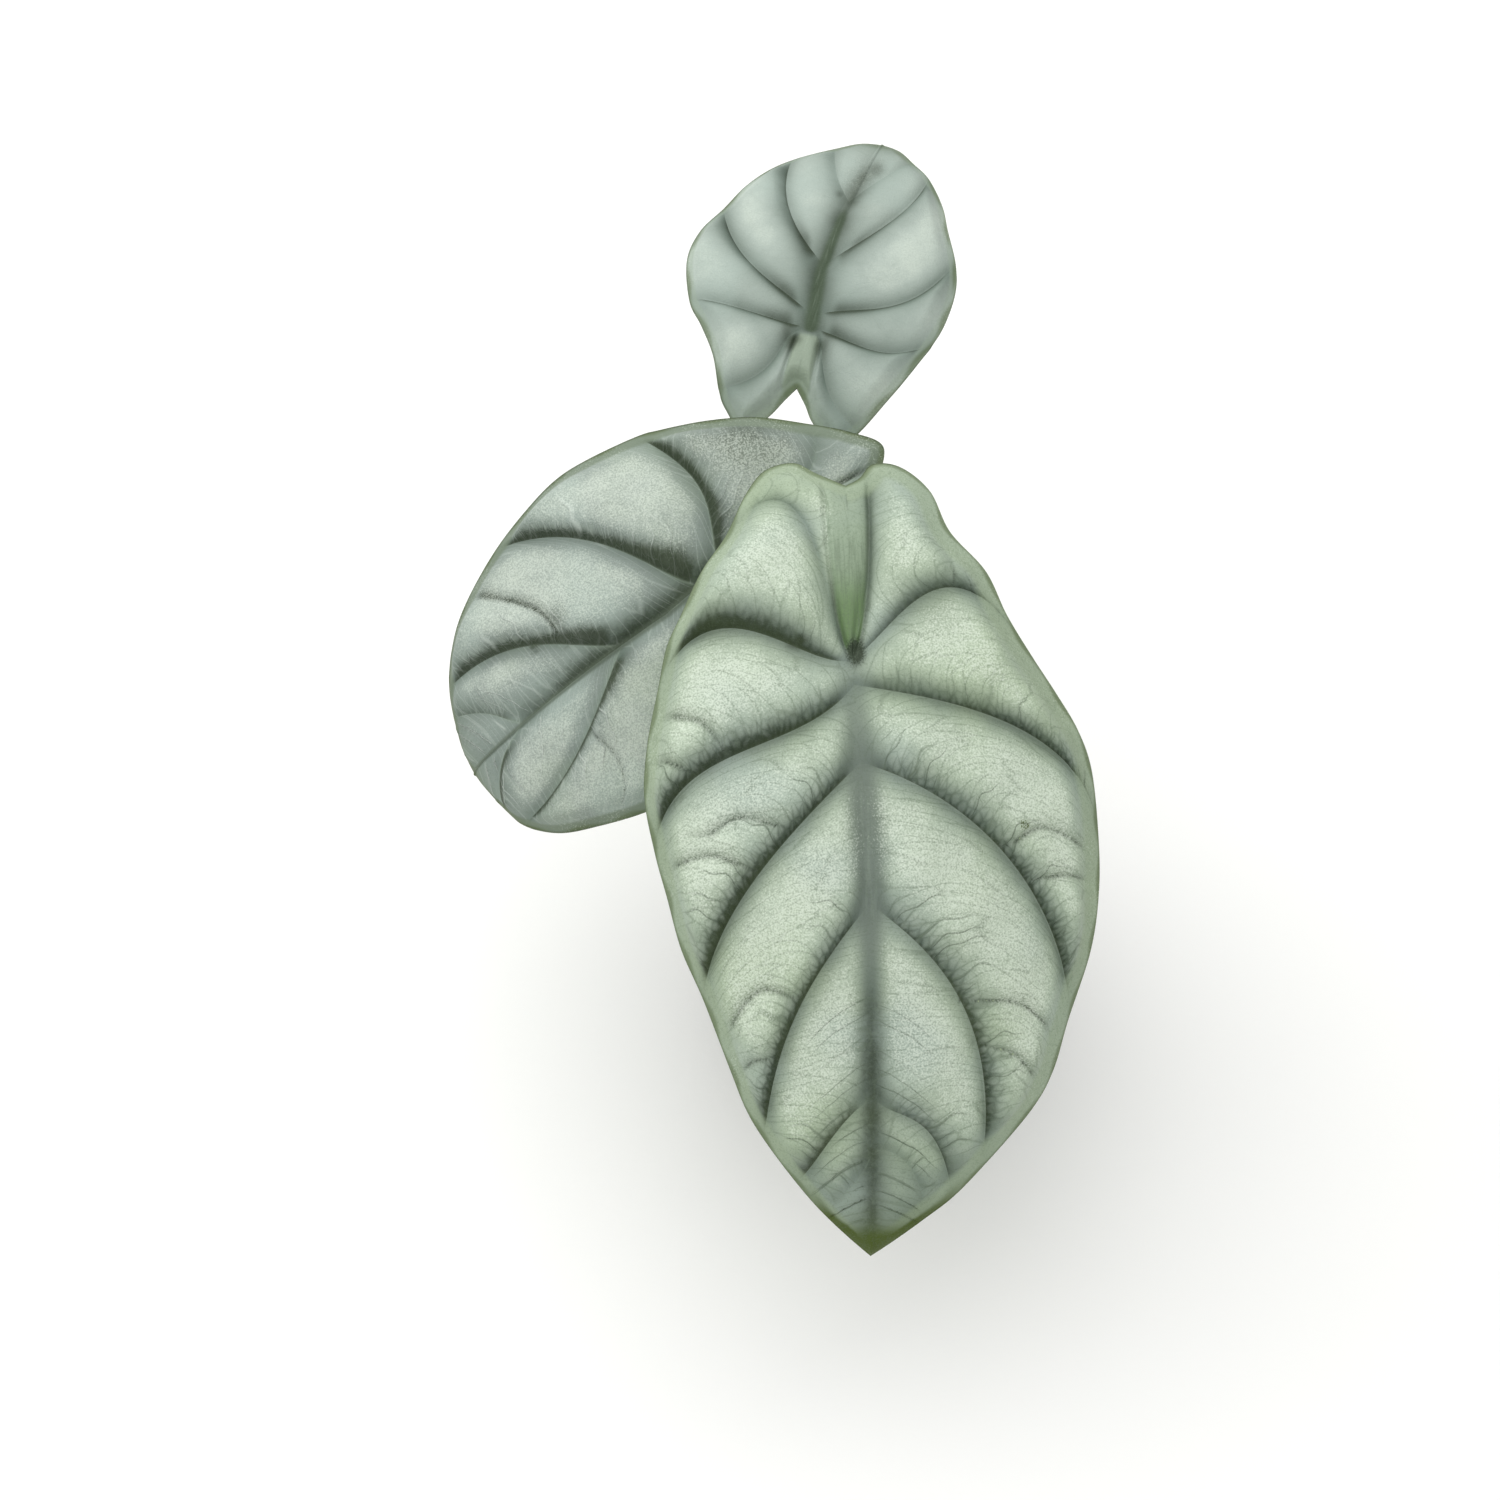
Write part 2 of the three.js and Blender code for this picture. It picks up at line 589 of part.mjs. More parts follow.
// The pot's outer radius below its rim
function potRadiusAt(z) {
  return POT_BASE_RADIUS + (POT_MOUTH_RADIUS - POT_BASE_RADIUS) * z / POT_HEIGHT;
}

function potGeometry() {
  const rimBottom = POT_HEIGHT - POT_RIM_DEPTH;
  const profile = [
    [0, 0],
    [POT_BASE_RADIUS - POT_CORNER, 0],
    [POT_BASE_RADIUS, POT_CORNER],
    [potRadiusAt(rimBottom), rimBottom],
    [POT_RIM_RADIUS - POT_RIM_BEVEL, rimBottom],
    [POT_RIM_RADIUS, rimBottom + POT_RIM_BEVEL],
    [POT_RIM_RADIUS, POT_HEIGHT - POT_RIM_BEVEL],
    [POT_RIM_RADIUS - POT_RIM_BEVEL, POT_HEIGHT],
    [POT_MOUTH_RADIUS - POT_WALL, POT_HEIGHT],
    [potRadiusAt(rimBottom) - POT_WALL, rimBottom],
    [potRadiusAt(POT_FLOOR) - POT_WALL, POT_FLOOR],
    [0, POT_FLOOR],
  ];
  const lathe = new THREE.LatheGeometry(
    profile.map(([radius, z]) => new THREE.Vector2(radius, z)), POT_SEGMENTS);
  let body = toSolid(lathe.rotateX(Math.PI / 2));
  for (let i = 0; i < DRAIN_HOLES; i += 1) {
    const turn = 2 * Math.PI * (i + 0.5) / DRAIN_HOLES;
    const drill = new THREE.CylinderGeometry(
      DRAIN_RADIUS, DRAIN_RADIUS, POT_FLOOR * 4, DRAIN_SIDES);
    drill.rotateX(Math.PI / 2);
    drill.translate(DRAIN_CIRCLE * Math.cos(turn), DRAIN_CIRCLE * Math.sin(turn), 0);
    body = body.subtract(toSolid(drill));
  }
  return toGeometry(body);
}

// Soil: fills the pot, with a rough top and a plain hole for the crown
function soilHeight(x, y) {
  const coarse = Math.sin(0.31 * x + 0.7) * Math.cos(0.27 * y - 0.4);
  const fine = Math.sin(0.83 * x - 1.1 * y) + Math.cos(0.71 * x + 0.93 * y + 1.9);
  return SOIL_LEVEL + SOIL_LUMP * (coarse + 0.5 * fine);
}

function soilGeometry() {
  const bottom = POT_FLOOR + SEAT_GAP;
  const wallGap = POT_WALL + SEAT_GAP * 1.2;
  const outer = potRadiusAt(SOIL_LEVEL - SOIL_LUMP * 2) - wallGap;
  const inner = CROWN_RADIUS * CROWN_OUTLINE[0][0] / 2;
  const ring = (radius, heightAt) => Array.from({ length: SOIL_SEGMENTS }, (_, j) => {
    const turn = 2 * Math.PI * j / SOIL_SEGMENTS;
    const [x, y] = [radius * Math.cos(turn), radius * Math.sin(turn)];
    return new THREE.Vector3(x, y, heightAt(x, y));
  });
  const rings = [ring(inner, () => bottom), ring(potRadiusAt(bottom) - wallGap, () => bottom)];
  for (let i = 0; i < SOIL_RINGS; i += 1) {
    rings.push(ring(outer + (inner - outer) * i / (SOIL_RINGS - 1), soilHeight));
  }
  const hole = toSolid(crownGeometry(SEAT_GAP));
  return toGeometry(toSolid(skinned(rings)).subtract(hole));
}

// The plant in its pot

const plant = new THREE.Group();

const growth = [
  ['front', FRONT_LEAF, FRONT_STALK, SILVER],
  ['left', LEFT_LEAF, LEFT_STALK, SILVER_GREY],
  ['back', BACK_LEAF, BACK_STALK, SILVER_GREY],
];
const crownRoom = toSolid(crownGeometry(SEAT_GAP));
for (const [place, leaf, route, finish] of growth) {
  plant.add(namedMesh(`leaf_${place}`, bladeGeometry(leaf), finish));
  const stalk = toSolid(stalkGeometry(leaf, route)).subtract(crownRoom);
  plant.add(namedMesh(`stalk_${place}`, toGeometry(stalk), STALK_GREEN));
}
plant.add(namedMesh('crown', crownGeometry(0), CROWN_GREEN));
plant.add(namedMesh('soil', soilGeometry(), BARK_BROWN));
plant.add(namedMesh('pot', potGeometry(), POT_CHARCOAL));

export default plant;
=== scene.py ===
"""A potted silver dragon alocasia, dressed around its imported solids.

Sizes in the leaf patterns are millimetres, as a grower would measure a pressed leaf. Every
mesh is in metres, +Z up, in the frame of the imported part.
"""

import math

import bmesh
import bpy
import numpy as np
from bpy.props import FloatProperty, FloatVectorProperty, IntProperty, PointerProperty
from bpy.types import Operator, Panel, PropertyGroup
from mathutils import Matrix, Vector, noise


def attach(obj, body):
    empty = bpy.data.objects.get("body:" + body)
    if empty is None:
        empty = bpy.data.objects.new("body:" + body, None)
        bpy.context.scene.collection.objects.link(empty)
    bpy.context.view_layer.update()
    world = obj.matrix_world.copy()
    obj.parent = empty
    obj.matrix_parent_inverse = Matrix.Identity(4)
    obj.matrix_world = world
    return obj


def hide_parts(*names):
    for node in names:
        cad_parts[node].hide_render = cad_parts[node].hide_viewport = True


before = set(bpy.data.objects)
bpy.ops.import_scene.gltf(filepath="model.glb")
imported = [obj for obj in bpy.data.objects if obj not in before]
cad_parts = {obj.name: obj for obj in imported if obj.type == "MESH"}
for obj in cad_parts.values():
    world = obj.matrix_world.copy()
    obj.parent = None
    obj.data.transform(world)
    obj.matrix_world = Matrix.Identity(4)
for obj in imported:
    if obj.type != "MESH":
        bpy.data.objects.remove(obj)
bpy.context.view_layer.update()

bl_info = {
    "name": "Potted alocasia",
    "version": (1, 0, 0),
    "blender": (4, 5, 0),
    "location": "3D View > Sidebar > Alocasia",
    "description": "Builds the leaves, stalks, crown, bark mix and pot of a small alocasia",
    "category": "Object",
}

MM = 0.001
BODY = "root"
ENDLESS = 400

# Leaf patterns: x runs across the blade and y along its midrib, from the stalk joint (0, 0)
# to the tip, as if the blade were pressed flat. roots gives the y at which each pair of
# veins leaves the midrib. veins holds two lists, one for each half of the blade, from the tip
# to the notch. A row gives two points that the vein passes, its end at the rim, the rim points
# between it and the next vein, and the height of the panel between them. branches holds the
# main side veins inside the panels, again for each half.
FRONT_PATTERN = {
    "midrib": [(0, 0), (2, 40), (1.8, 90), (1.4, 128.4)],
    "notch": (0.6, -37.7),
    "roots": [128.4, 102, 90, 49, 20.5, 5, 0, 0],
    "veins": ([
        ((1.4, 128.4), (1.4, 128.4), (1.4, 128.4), [], 0.8),
        ((6, 102.5), (10.5, 108), (12.5, 119.5), [], 1.4),
        ((8, 94), (14.2, 99.5), (18.5, 114.8), [], 2.8),
        ((14, 60.4), (23.4, 79), (24.5, 108.8), [(35.8, 96.3), (40.6, 88)], 4.2),
        ((23.3, 33.3), (38, 53), (44, 77), [(49.2, 62.4), (51.2, 50)], 4.4),
        ((21.5, 9.8), (41, 19.5), (51.3, 38), [(50.1, 24), (47.2, 15.4), (42.6, 7.6)], 4),
        ((10.5, -9.5), (22.5, -14.4), (38, 0.5),
         [(32.6, -9), (28.6, -18.5), (21.6, -27.1), (18, -36.5), (12.2, -42.2),
          (6.6, -42.9)], 3.2),
        ((3.2, -13), (5.4, -26), (3.6, -39.5), [], 0.9),
    ], [
        ((1.4, 128.4), (1.4, 128.4), (1.4, 128.4), [], 0.8),
        ((-1.5, 108.4), (-4.8, 112), (-8.5, 116.8), [], 1.4),
        ((-4.2, 95.4), (-9.2, 102.5), (-14.2, 109.2), [], 2.8),
        ((-10.4, 66), (-17.2, 82), (-20.6, 99.5), [(-24.2, 92.7), (-27.3, 83.9)], 4),
        ((-14, 35.3), (-26, 51.2), (-32.4, 69), [(-36.7, 58.3), (-39.3, 47.5)], 4.4),
        ((-15, 14.8), (-31.5, 22), (-41.6, 38), [(-43.4, 26.5), (-42.4, 15.5)], 4.4),
        ((-12, -3.4), (-26, -7.6), (-39.6, 3.5),
         [(-37.6, -4.8), (-34.6, -11), (-29.9, -20.4)], 4.6),
        ((-4.4, -14.5), (-10.4, -32.4), (-24.5, -28),
         [(-20.2, -36.9), (-15.9, -42.5), (-9.9, -43.9), (-5.3, -41)], 0.9),
    ]),
    "branches": ([
        [(20.1, 69.9), (29, 70.3), (35.5, 74.2), (41.5, 82.5)],
        [(23.4, 79.7), (30.5, 81.8), (37.5, 91.5)],
        [(29.4, 38.8), (37, 35.2), (45.8, 39.5), (51, 45.5)],
        [(34.2, 45.8), (42.1, 45.4), (51, 48.5)],
        [(21, -14.7), (20.8, -27.5)],
    ], [
        [(-13.8, 67.3), (-19.5, 65.8), (-24, 69.8), (-28.5, 78.5)],
        [(-17.4, 80.6), (-22, 81), (-26, 86)],
        [(-16.1, 32.6), (-23.3, 30.8), (-29, 34)],
        [(-21.6, 41.2), (-28.8, 38.4), (-36.3, 40.5), (-40, 45)],
        [(-26.1, 17), (-31, 11.3), (-42, 10)],
        [(-32.4, 21.6), (-37.1, 19.5), (-43, 19)],
    ]),
}

LEFT_PATTERN = {
    "midrib": [(0, 0), (1.6, 14.4), (1.2, 36.1), (0.8, 83.4)],
    "notch": (1.5, -38.6),
    "roots": [83.4, 57.5, 26.5, 5, 0, 0],
    "veins": ([
        ((0.8, 83.4), (0.8, 83.4), (0.8, 83.4), [(7.2, 80.3)], 0.8),
        ((3.6, 67), (7.7, 72.6), (13.4, 77.2), [], 2.4),
        ((8, 37.1), (15.5, 53), (18.4, 74.2), [(25.2, 66.1), (29.9, 55.1)], 3.4),
        ((11.3, 14.9), (24.2, 25.8), (33.6, 43.8), [(35.2, 34), (35.6, 22.7)], 3.6),
        ((10.3, -1.5), (22.1, -4.6), (34, 2.1), [(30.4, -8.2), (25.8, -17.5)], 3.6),
        ((5.7, -12.4), (9.8, -27.8), (20.6, -26.3),
         [(14.9, -35), (9.3, -40.7), (4.6, -41.7)], 0.7),
    ], [
        ((0.8, 83.4), (0.8, 83.4), (0.8, 83.4), [(-6.2, 81.4)], 0.8),
        ((-3.1, 61.8), (-7.7, 67), (-12.4, 77.7), [], 2.2),
        ((-6.2, 37.5), (-14.4, 51.9), (-17.7, 74.2), [(-24.7, 68), (-30.5, 59.9)], 3.2),
        ((-9.5, 11.9), (-24.4, 23.1), (-36.5, 45.1),
         [(-39.9, 31.9), (-41.3, 22.7), (-40.7, 14.4)], 3.8),
        ((-11.3, -4.5), (-22.1, -5.4), (-38.1, 1),
         [(-36.1, -4.6), (-31.4, -15), (-25.8, -24.3)], 3.8),
        ((-4.1, -12.4), (-7.6, -26.8), (-18.5, -32.5), [(-11.5, -39.7), (-4.9, -44)], 0.9),
    ]),
    "branches": ([
        [(11.6, 43.1), (19.6, 41), (27.3, 43.8), (31.4, 51.5)],
    ], [
        [(-6.8, 37.8), (-13.5, 38.2), (-21.1, 43.3), (-32.4, 56.1)],
    ]),
}

BACK_PATTERN = {
    "midrib": [(0, 0), (0.9, 16), (-0.4, 34), (-4, 64)],
    "notch": (0.3, -14.6),
    "roots": [64, 38, 17.5, 3, 0, 0],
    "veins": ([
        ((-4, 64), (-4, 64), (-4, 64), [(1.2, 63.2)], 0.6),
        ((2, 43), (4.5, 49), (6.8, 59), [], 1.5),
        ((7.2, 25), (13.4, 36.5), (15.4, 52.7), [(20.5, 47.6), (24.6, 41)], 2.6),
        ((9.8, 9.8), (20, 18.4), (27.8, 33), [(31.6, 25.2), (32.6, 16)], 2.7),
        ((9, 1.1), (18.7, 3.1), (29.2, 4.4), [(25, -2), (20.6, -9.4)], 2.5),
        ((4.8, -4), (7.6, -11), (17.6, -17.6),
         [(15.4, -21.6), (10.4, -26.4), (5.4, -22), (2.4, -17.6)], 2),
    ], [
        ((-4, 64), (-4, 64), (-4, 64), [(-8.2, 62.2)], 0.6),
        ((-3.4, 43), (-7, 49), (-12.4, 57.6), [], 1.5),
        ((-5.9, 26.1), (-13.4, 37.8), (-17, 52.6), [(-21.8, 43.8), (-24.6, 35.8)], 2.6),
        ((-9, 6.6), (-19.4, 11.4), (-28.2, 26), [(-29.6, 18), (-29, 9)], 2.7),
        ((-9.2, -2), (-18, -3), (-27.2, 2), [(-23.5, -7), (-20, -13.9)], 2.5),
        ((-3.6, -5.4), (-6.4, -13.6), (-15, -22.4), [(-10.4, -26.6), (-4.8, -22), (-2.2, -18)], 2),
    ]),
    "branches": ([], []),
}

# What else sets the front, left and back leaf apart, in that order. Lengths are in mm, angles
# in degrees. A pair is for the two halves of the pattern, unless its comment says otherwise.
TRAITS = {
    # Place of the stalk joint, and the way the blade faces there
    "joint": ((-6, -36, 160), (-33.2, 0, 148.5), (-12.9, 58, 166)),
    "heading": (-87.5, 201, 77),
    "pitch": (36, 27, -16),
    "roll": (0, 24, 0),
    # Angle and length of the bends towards the tip and the base, where the tip starts to curl
    # with the angle and length of that, and the droop of both sides over a width
    "tip_bend": ((28, 127), (32, 76), (21, 62)),
    "base_bend": ((24, 43), (14, 43), (27, 25)),
    "curl": ((115, 8, 13), (72, 40, 12), (54, 6, 10)),
    "arch": ((18, 18, 46), (14, 9, 38), (8, 8, 31)),
    # Channel over the stalk: half width at the joint and growth, height of the skin beside
    # it, and the share of the height that is lost round the joint
    "channel": ((0.5, 4.3), (0.5, 3), (2.3, 1.4)),
    "channel_puff": (0.9, 0.7, 2),
    "hub_dent": (0, 0, 0.6),
    # Width of the plain rim, and half width of the midrib's strip at the joint and the tip
    "rim_band": ((5, 3.4), (2.6, 3.4), (2, 2)),
    "strip": ((2.7, 0.6), (0.9, 0.3), (1.5, 0.3)),
    # Strength of the wrinkles and their lean to the rim, 1 for sunken ones and -1 for raised
    # ones, and strength of the cords in the grooves
    "wrinkle": (1, 1, 0.15),
    "lean": (0.15, 0.6, 0.4),
    "ridged": (1, -1, 1),
    "cord": (0.35, 0.6, 0),
    # Reach of the green slopes beside the veins and the midrib, with painted shade on them. The
    # midrib's are fainter by two shares, one near the joint and one near the tip, and change
    # between two places
    "slope": (5.6, 4.2, 6.5),
    "midrib_slope": ((2.4, 2.4), (2.6, 5.5), (5, 5)),
    "midrib_faint": ((0.6, 0, 45, 75), (0.2, 0.2, 45, 75), (0, 0.75, 31, 38)),
    # Dark walls, dark green skin with painted shade: strength, strength near the midrib and the
    # rim with the reach near the midrib, panel heights between which they darken, panels where
    # they are quiet, share of the painted shade on the gentle side of a vein, and strength
    # beside the branches
    "wall_green_and_shade": ((0.6, 1.1), (1.15, 1.5), (0.75, 0.75)),
    "wall_ends": ((0.6, 1, 1), (1.5, 0.85, 1.7), (1.05, 0.45, 1.2)),
    "shaded": ((1.2, 4.4), (0.6, 2.5), (1.6, 2.7)),
    "quiet_panels": ((None, None), (None, 1), (None, 5)),
    "both_sides": (0.2, 0.1, 0.55),
    "branch_wall": ((0.6, 0.6), (0.55, 0.95), (0.6, 0.6)),
    # Shade along the midrib: strengths, the stretches where it starts and stops, and reach
    "midrib_wall": (((0.6, 0.6), (45, 80), (400, 500), 3.4),
                    ((0.1, 0.85), (-5, 0), (30, 78), 4.2), ((0.6, 0.6), (-5, 0), (46, 64), 4.2)),
    # Loss of silver at the rim and the tip, and olive green there
    "rim_fade": (0.4, 0.3, 0.1),
    "dull_tip": (0.8, 0.3, 0.3),
    "olive_tip": (1, 0.7, 0.5),
    # Grain of the wax, net of veinlets, and cool and warm patches
    "grain": (0.55, 0.36, 0.12),
    "net": (0.34, 0.2, 0.05),
    "tints": ((0.6, 0.35), (0.5, 0.12), (0.5, 0)),
    "band_colour": ("#93a388", "#6b7965", "#8a9987"),
    "band_share": (0.7, 0.85, 0.45),
    # Colour of the strip, its reach, and the stretches where it starts and stops
    "strip_colour": ("#68736a", "#566253", "#32462a"),
    "strip_reach": (3, 2, 2),
    "strip_from": ((2, 34), (-12, -6), (-12, -6)),
    "strip_until": ((46, 76), (400, 500), (31, 38)),
    # Colours of the channel, old and fresh, with their share, where it starts, and its dark
    # edges, dark veins with painted shade in their grooves: strength, width, and the stretch
    # where they fade
    "channel_colour": (("#8a9c82", "#56753c", 0.75), ("#8a9c82", "#5f7544", 0.7),
                       ("#8b9986", "#8b9986", 0.6)),
    "channel_from": ((0.5, 4), (0.5, 4), (0.8, 3.5)),
    "channel_line": (((0.42, 1.6, 400, 500), (0.5, 0.5, 10, 26)),
                     ((0.6, 0.6, 400, 500), (0.6, 0.6, 400, 500)),
                     ((0.9, 2.2, 3, 11), (0.6, 1.2, 3, 12))),
    # Rough dark spot at the joint, patches of painted shade (place, half width and length,
    # strength), and the place of a rubbed spot
    "hub": (1, 1, 0),
    "shade_marks": (((-10.5, -4, 2.6, 1.7, 0.9), (15.8, -12, 9, 9, 0.28)),
              ((-22, -20, 15, 13, 0.5), (-11.3, 44.8, 2.2, 1.6, 0.8),
               (-11.6, 35.8, 3.8, 3.8, 0.5)),
              ((1.6, 40, 1.8, 2.6, 0.5), (-1.4, 45, 1.6, 3, 0.55), (-4, 51, 3.5, 5, 0.5))),
    "rubbed": ((33, 34), (ENDLESS, 0), (ENDLESS, 0)),
}
LEAVES = {place: {**pattern, **{trait: values[number] for trait, values in TRAITS.items()}}
          for number, (place, pattern) in enumerate((
              ("front", FRONT_PATTERN), ("left", LEFT_PATTERN), ("back", BACK_PATTERN)))}

# Stalk routes from inside the crown to the joint under each blade
STALK_ROUTES = {
    "front": [(-0.5, -3.5, 78), (-1.5, -8.5, 92), (-4, -18, 118), (-5.8, -27.5, 144)],
    "left": [(-3.5, 1, 78), (-8, 2.4, 92), (-19.5, 5.6, 115), (-29.6, 7.6, 136)],
    "back": [(1.5, 3, 78), (3, 9, 92), (1, 26, 119), (-7.4, 46.5, 145)],
}
STALK_NECK = 8
STALK_RINGS = 90
STALK_SIDES = 28
STALK_RIBS = 7
STALK_RIB_HEIGHT = 0.018
KNEE_SWELL = 0.16
JOINT_DEPTH = 0.9

# Radius and height of the crown, and of the pot from its underside round to its floor
CROWN_PROFILE = [(0.1, 52), (6.8, 52), (8.5, 68), (7.9, 74), (6.9, 79), (5.3, 83), (3.2, 85.4),
                 (0.1, 86)]
CROWN_CLEAR = 8.2
CROWN_SIDES = 72
CROWN_RINGS = 60
SCAR_SPACING = 2.6
SHEATH_REACH = 0.3
SHEATH_RADIUS = 3.9
SHEATH_THICKNESS = 0.35
POT_OUTLINE = [(0.2, 0.9), (29.6, 0.9), (30.3, 0), (31.5, 0), (32.6, 0.4), (33, 1.5), (34.1, 8),
               (34.3, 8.6), (34.3, 9.1), (41.3, 64), (41.9, 64.5), (42, 65.5), (41.6, 66),
               (42.2, 72), (44.2, 72), (45, 72.8), (45, 78.4), (44.5, 79.6), (43.6, 80),
               (42.4, 80), (41.8, 79.6), (41.5, 78.6), (40.4, 72), (32, 2.8), (31.1, 1.8),
               (0.2, 1.8)]
POT_BASE_INSIDE = 31.6
POT_EDGE_RADIUS = 0.45
POT_GAP = 0.4
DRAIN_HOLES = 6
DRAIN_RADIUS = 3.5
DRAIN_CIRCLE = 23
DRAIN_SIDES = 36
MIX_FLOOR = 2
MIX_LEVEL = 70
MIX_RADIUS = 40
MIX_SEED = 21
MIX_SIDES = 180
MIX_RINGS = 46
MIX_HOLE = 6.5
# Height and width of its hollows, lumps and crumbs, and a layer of the noise for each
MIX_LUMPS = ((1.6, 14, 3.1), (0.9, 4.5, 8.4), (0.45, 1.3, 1.7))

# Relief of a blade, in millimetres
GENTLE_RISE = 6.5
STEEP_RISE = 2.8
PANEL_GAIN = 1.18
MIDRIB_RISE = 3.2
RIM_ROLL = 0.9
BRANCH_DEPTH = 0.5
CORD_RADIUS = 0.42
RIM_BULGE = 0.16
CREASE_SPACING = 1.9
FOLD_SPACING = 4
RIB_SPACING = 4.6
CREASE_SEED, FOLD_SEED, RIB_SEED = 5, 7, 11

# Mesh of a blade: numbered lines that differ at random, points along a curve, and how much
# closer the cells stand on the steep side of a panel
MOST_PANELS = 12
MOST_LINES = 97
CURVE_SAMPLES = 24
RIM_SAMPLES = 260
CROWDING = 1.2

# Camera: its place in metres, its tilt in degrees, and its lens and film in millimetres
CAMERA_PLACE = (-0.0264, -0.37118, 0.53145)
CAMERA_TILT = 40
CAMERA_LENS = 60
CAMERA_FILM = 36
FLOOR_CORNERS = [(-4, -3, 0), (4, -3, 0), (4, 6, 0), (-4, 6, 0)]


def linear(colour):
    """Linear RGBA of an sRGB hex colour."""
    parts = [int(colour[i:i + 2], 16) / 255 for i in (1, 3, 5)]
    bent = [c / 12.92 if c <= 0.04045 else ((c + 0.055) / 1.055) ** 2.4 for c in parts]
    return (*bent, 1.0)


def colour_property(name, description, colour):
    """A colour setting, from an sRGB hex colour."""
    return FloatVectorProperty(
        name=name, description=description, subtype="COLOR", size=4, min=0, max=1,
        default=linear(colour))


def length_property(name, description, length):
    """A length setting, from millimetres."""
    return FloatProperty(
        name=name, description=description, default=length * MM, unit="LENGTH", precision=5)


class BladeSettings(PropertyGroup):
    """Sizes and colours of the three leaves."""
    step: length_property("Mesh step", "Side of one mesh cell on the upper face", 0.57)
    thickness: length_property("Thickness", "Thickness of the blade between its veins", 0.6)
    fold_depth: length_property(
        "Wrinkle depth", "Depth of the wrinkles across the steep walls", 0.34)
    cord: length_property(
        "Vein cord", "How far the thin cord of a vein stands up in its groove", 0.28)
    front_crest: colour_property("Front leaf", "Crests of the front leaf", "#afbea8")
    left_crest: colour_property("Left leaf", "Crests of the left leaf", "#8a958e")
    back_crest: colour_property("Back leaf", "Crests of the back leaf", "#a7b3aa")
    # Slopes: the green skin of the low parts, with painted shade
    slope: colour_property("Slopes", "Low parts of the panels", "#66756b")
    # Walls: the dark green skin beside the veins, with painted shade
    wall_green_and_shade: colour_property("Walls", "Steep walls beside the veins", "#2f3b2a")
    tint: colour_property("Yellow tint", "Warm patches", "#abbe97")
    cool: colour_property("Blue tint", "Cool patches", "#a2b1a8")
    # Wax: the pale scales, and the painted highlights on the crests and the tops of the puffs
    wax_and_highlight: colour_property("Wax", "Pale scales and the tops of the puffs", "#dbe5d6")
    # Sunken lines: the veins' darker green, with painted shade in their creases
    line: colour_property("Sunken lines", "Thin sunken side veins", "#5c6b56")
    pale_line: colour_property("Raised lines", "Thin raised side veins", "#c4cec5")
    cord_colour: colour_property("Vein cord", "Cord at the bottom of a groove", "#8f9f8c")
    tip: colour_property("Tip", "Olive green of the tip", "#3f5000")
    under: colour_property("Underside", "Pale underside", "#a9b996")
    under_vein: colour_property("Underside veins", "Raised veins of the underside", "#8fa270")


class StalkSettings(PropertyGroup):
    """Sizes and colours of the stalks and their sheaths."""
    base_radius: length_property("Base radius", "Radius of a stalk where it leaves the crown", 3.4)
    top_radius: length_property("Top radius", "Radius of a stalk under its blade", 1.9)
    green: colour_property("Green", "Skin of the stalk", "#90a86c")
    pale: colour_property("Pale", "Stalk near the blade", "#aebd8f")
    sheath: colour_property("Sheath", "Older papery sheath", "#9a8a5c")


class PotSettings(PropertyGroup):
    """Sizes and colours of the pot and its bark mix."""
    segments: IntProperty(name="Segments", description="Sides of the round pot", default=144)
    plastic: colour_property("Plastic", "Body of the pot", "#2d2f31")
    chips: IntProperty(name="Bark chips", description="Chips on top of the mix", default=330)
    grains: IntProperty(name="Perlite", description="White grains on the mix", default=110)
    bark: colour_property("Bark", "Bark chips", "#6b4a33")
    peat: colour_property("Peat", "Fine mix between the chips", "#33261c")
    perlite: colour_property("Perlite", "Expanded white grains", "#e4e2da")


class StageSettings(PropertyGroup):
    """Floor and light."""
    floor: colour_property("Floor", "Plain pale floor", "#f4f4f2")
    key: FloatProperty(name="Key light", description="Soft light above and behind",
                       default=17.5, subtype="POWER", unit="POWER")
    fill: FloatProperty(name="Fill light", description="Soft light in front",
                        default=1.5, subtype="POWER", unit="POWER")
    sky: FloatProperty(name="Sky", description="Even light from all round", default=0.6)


# Blade shapes


def smooth(x, low, high):
    """0 at low, 1 at high, and a smooth step between. low may be the larger one."""
    k = np.clip((x - low) / (high - low), 0, 1)
    return k * k * (3 - 2 * k)


def bell(x, wide):
    """1 at 0, falling off to both sides like a bell."""
    return np.exp(-(x / wide) ** 2)


def blade_axes(leaf):
    """Directions along the midrib, out of the upper face, and across."""
    a, p, r = (math.radians(leaf[key]) for key in ("heading", "pitch", "roll"))
    along = np.array([math.cos(p) * math.cos(a), math.cos(p) * math.sin(a), -math.sin(p)])
    level = np.array([math.sin(p) * math.cos(a), math.sin(p) * math.sin(a), math.cos(p)])
    sideways = np.cross(level, along)
    up = level * math.cos(r) + sideways * math.sin(r)
    across = sideways * math.cos(r) - level * math.sin(r)
    return along, up, across


def follow_bend(y, stretches):
    """Forward, down and turn of a blade that bends evenly over each (length, angle)."""
    left = np.abs(y)
    forward, down, turned = np.zeros_like(y), np.zeros_like(y), np.zeros_like(y)
    for length, angle in stretches:
        step = np.minimum(left, length)
        curvature = math.radians(angle) / length
        following = turned + curvature * step
        forward += (np.sin(following) - np.sin(turned)) / curvature
        down += (np.cos(turned) - np.cos(following)) / curvature
        turned = following
        left = left - step
    return np.sign(y) * forward, down, np.sign(y) * turned


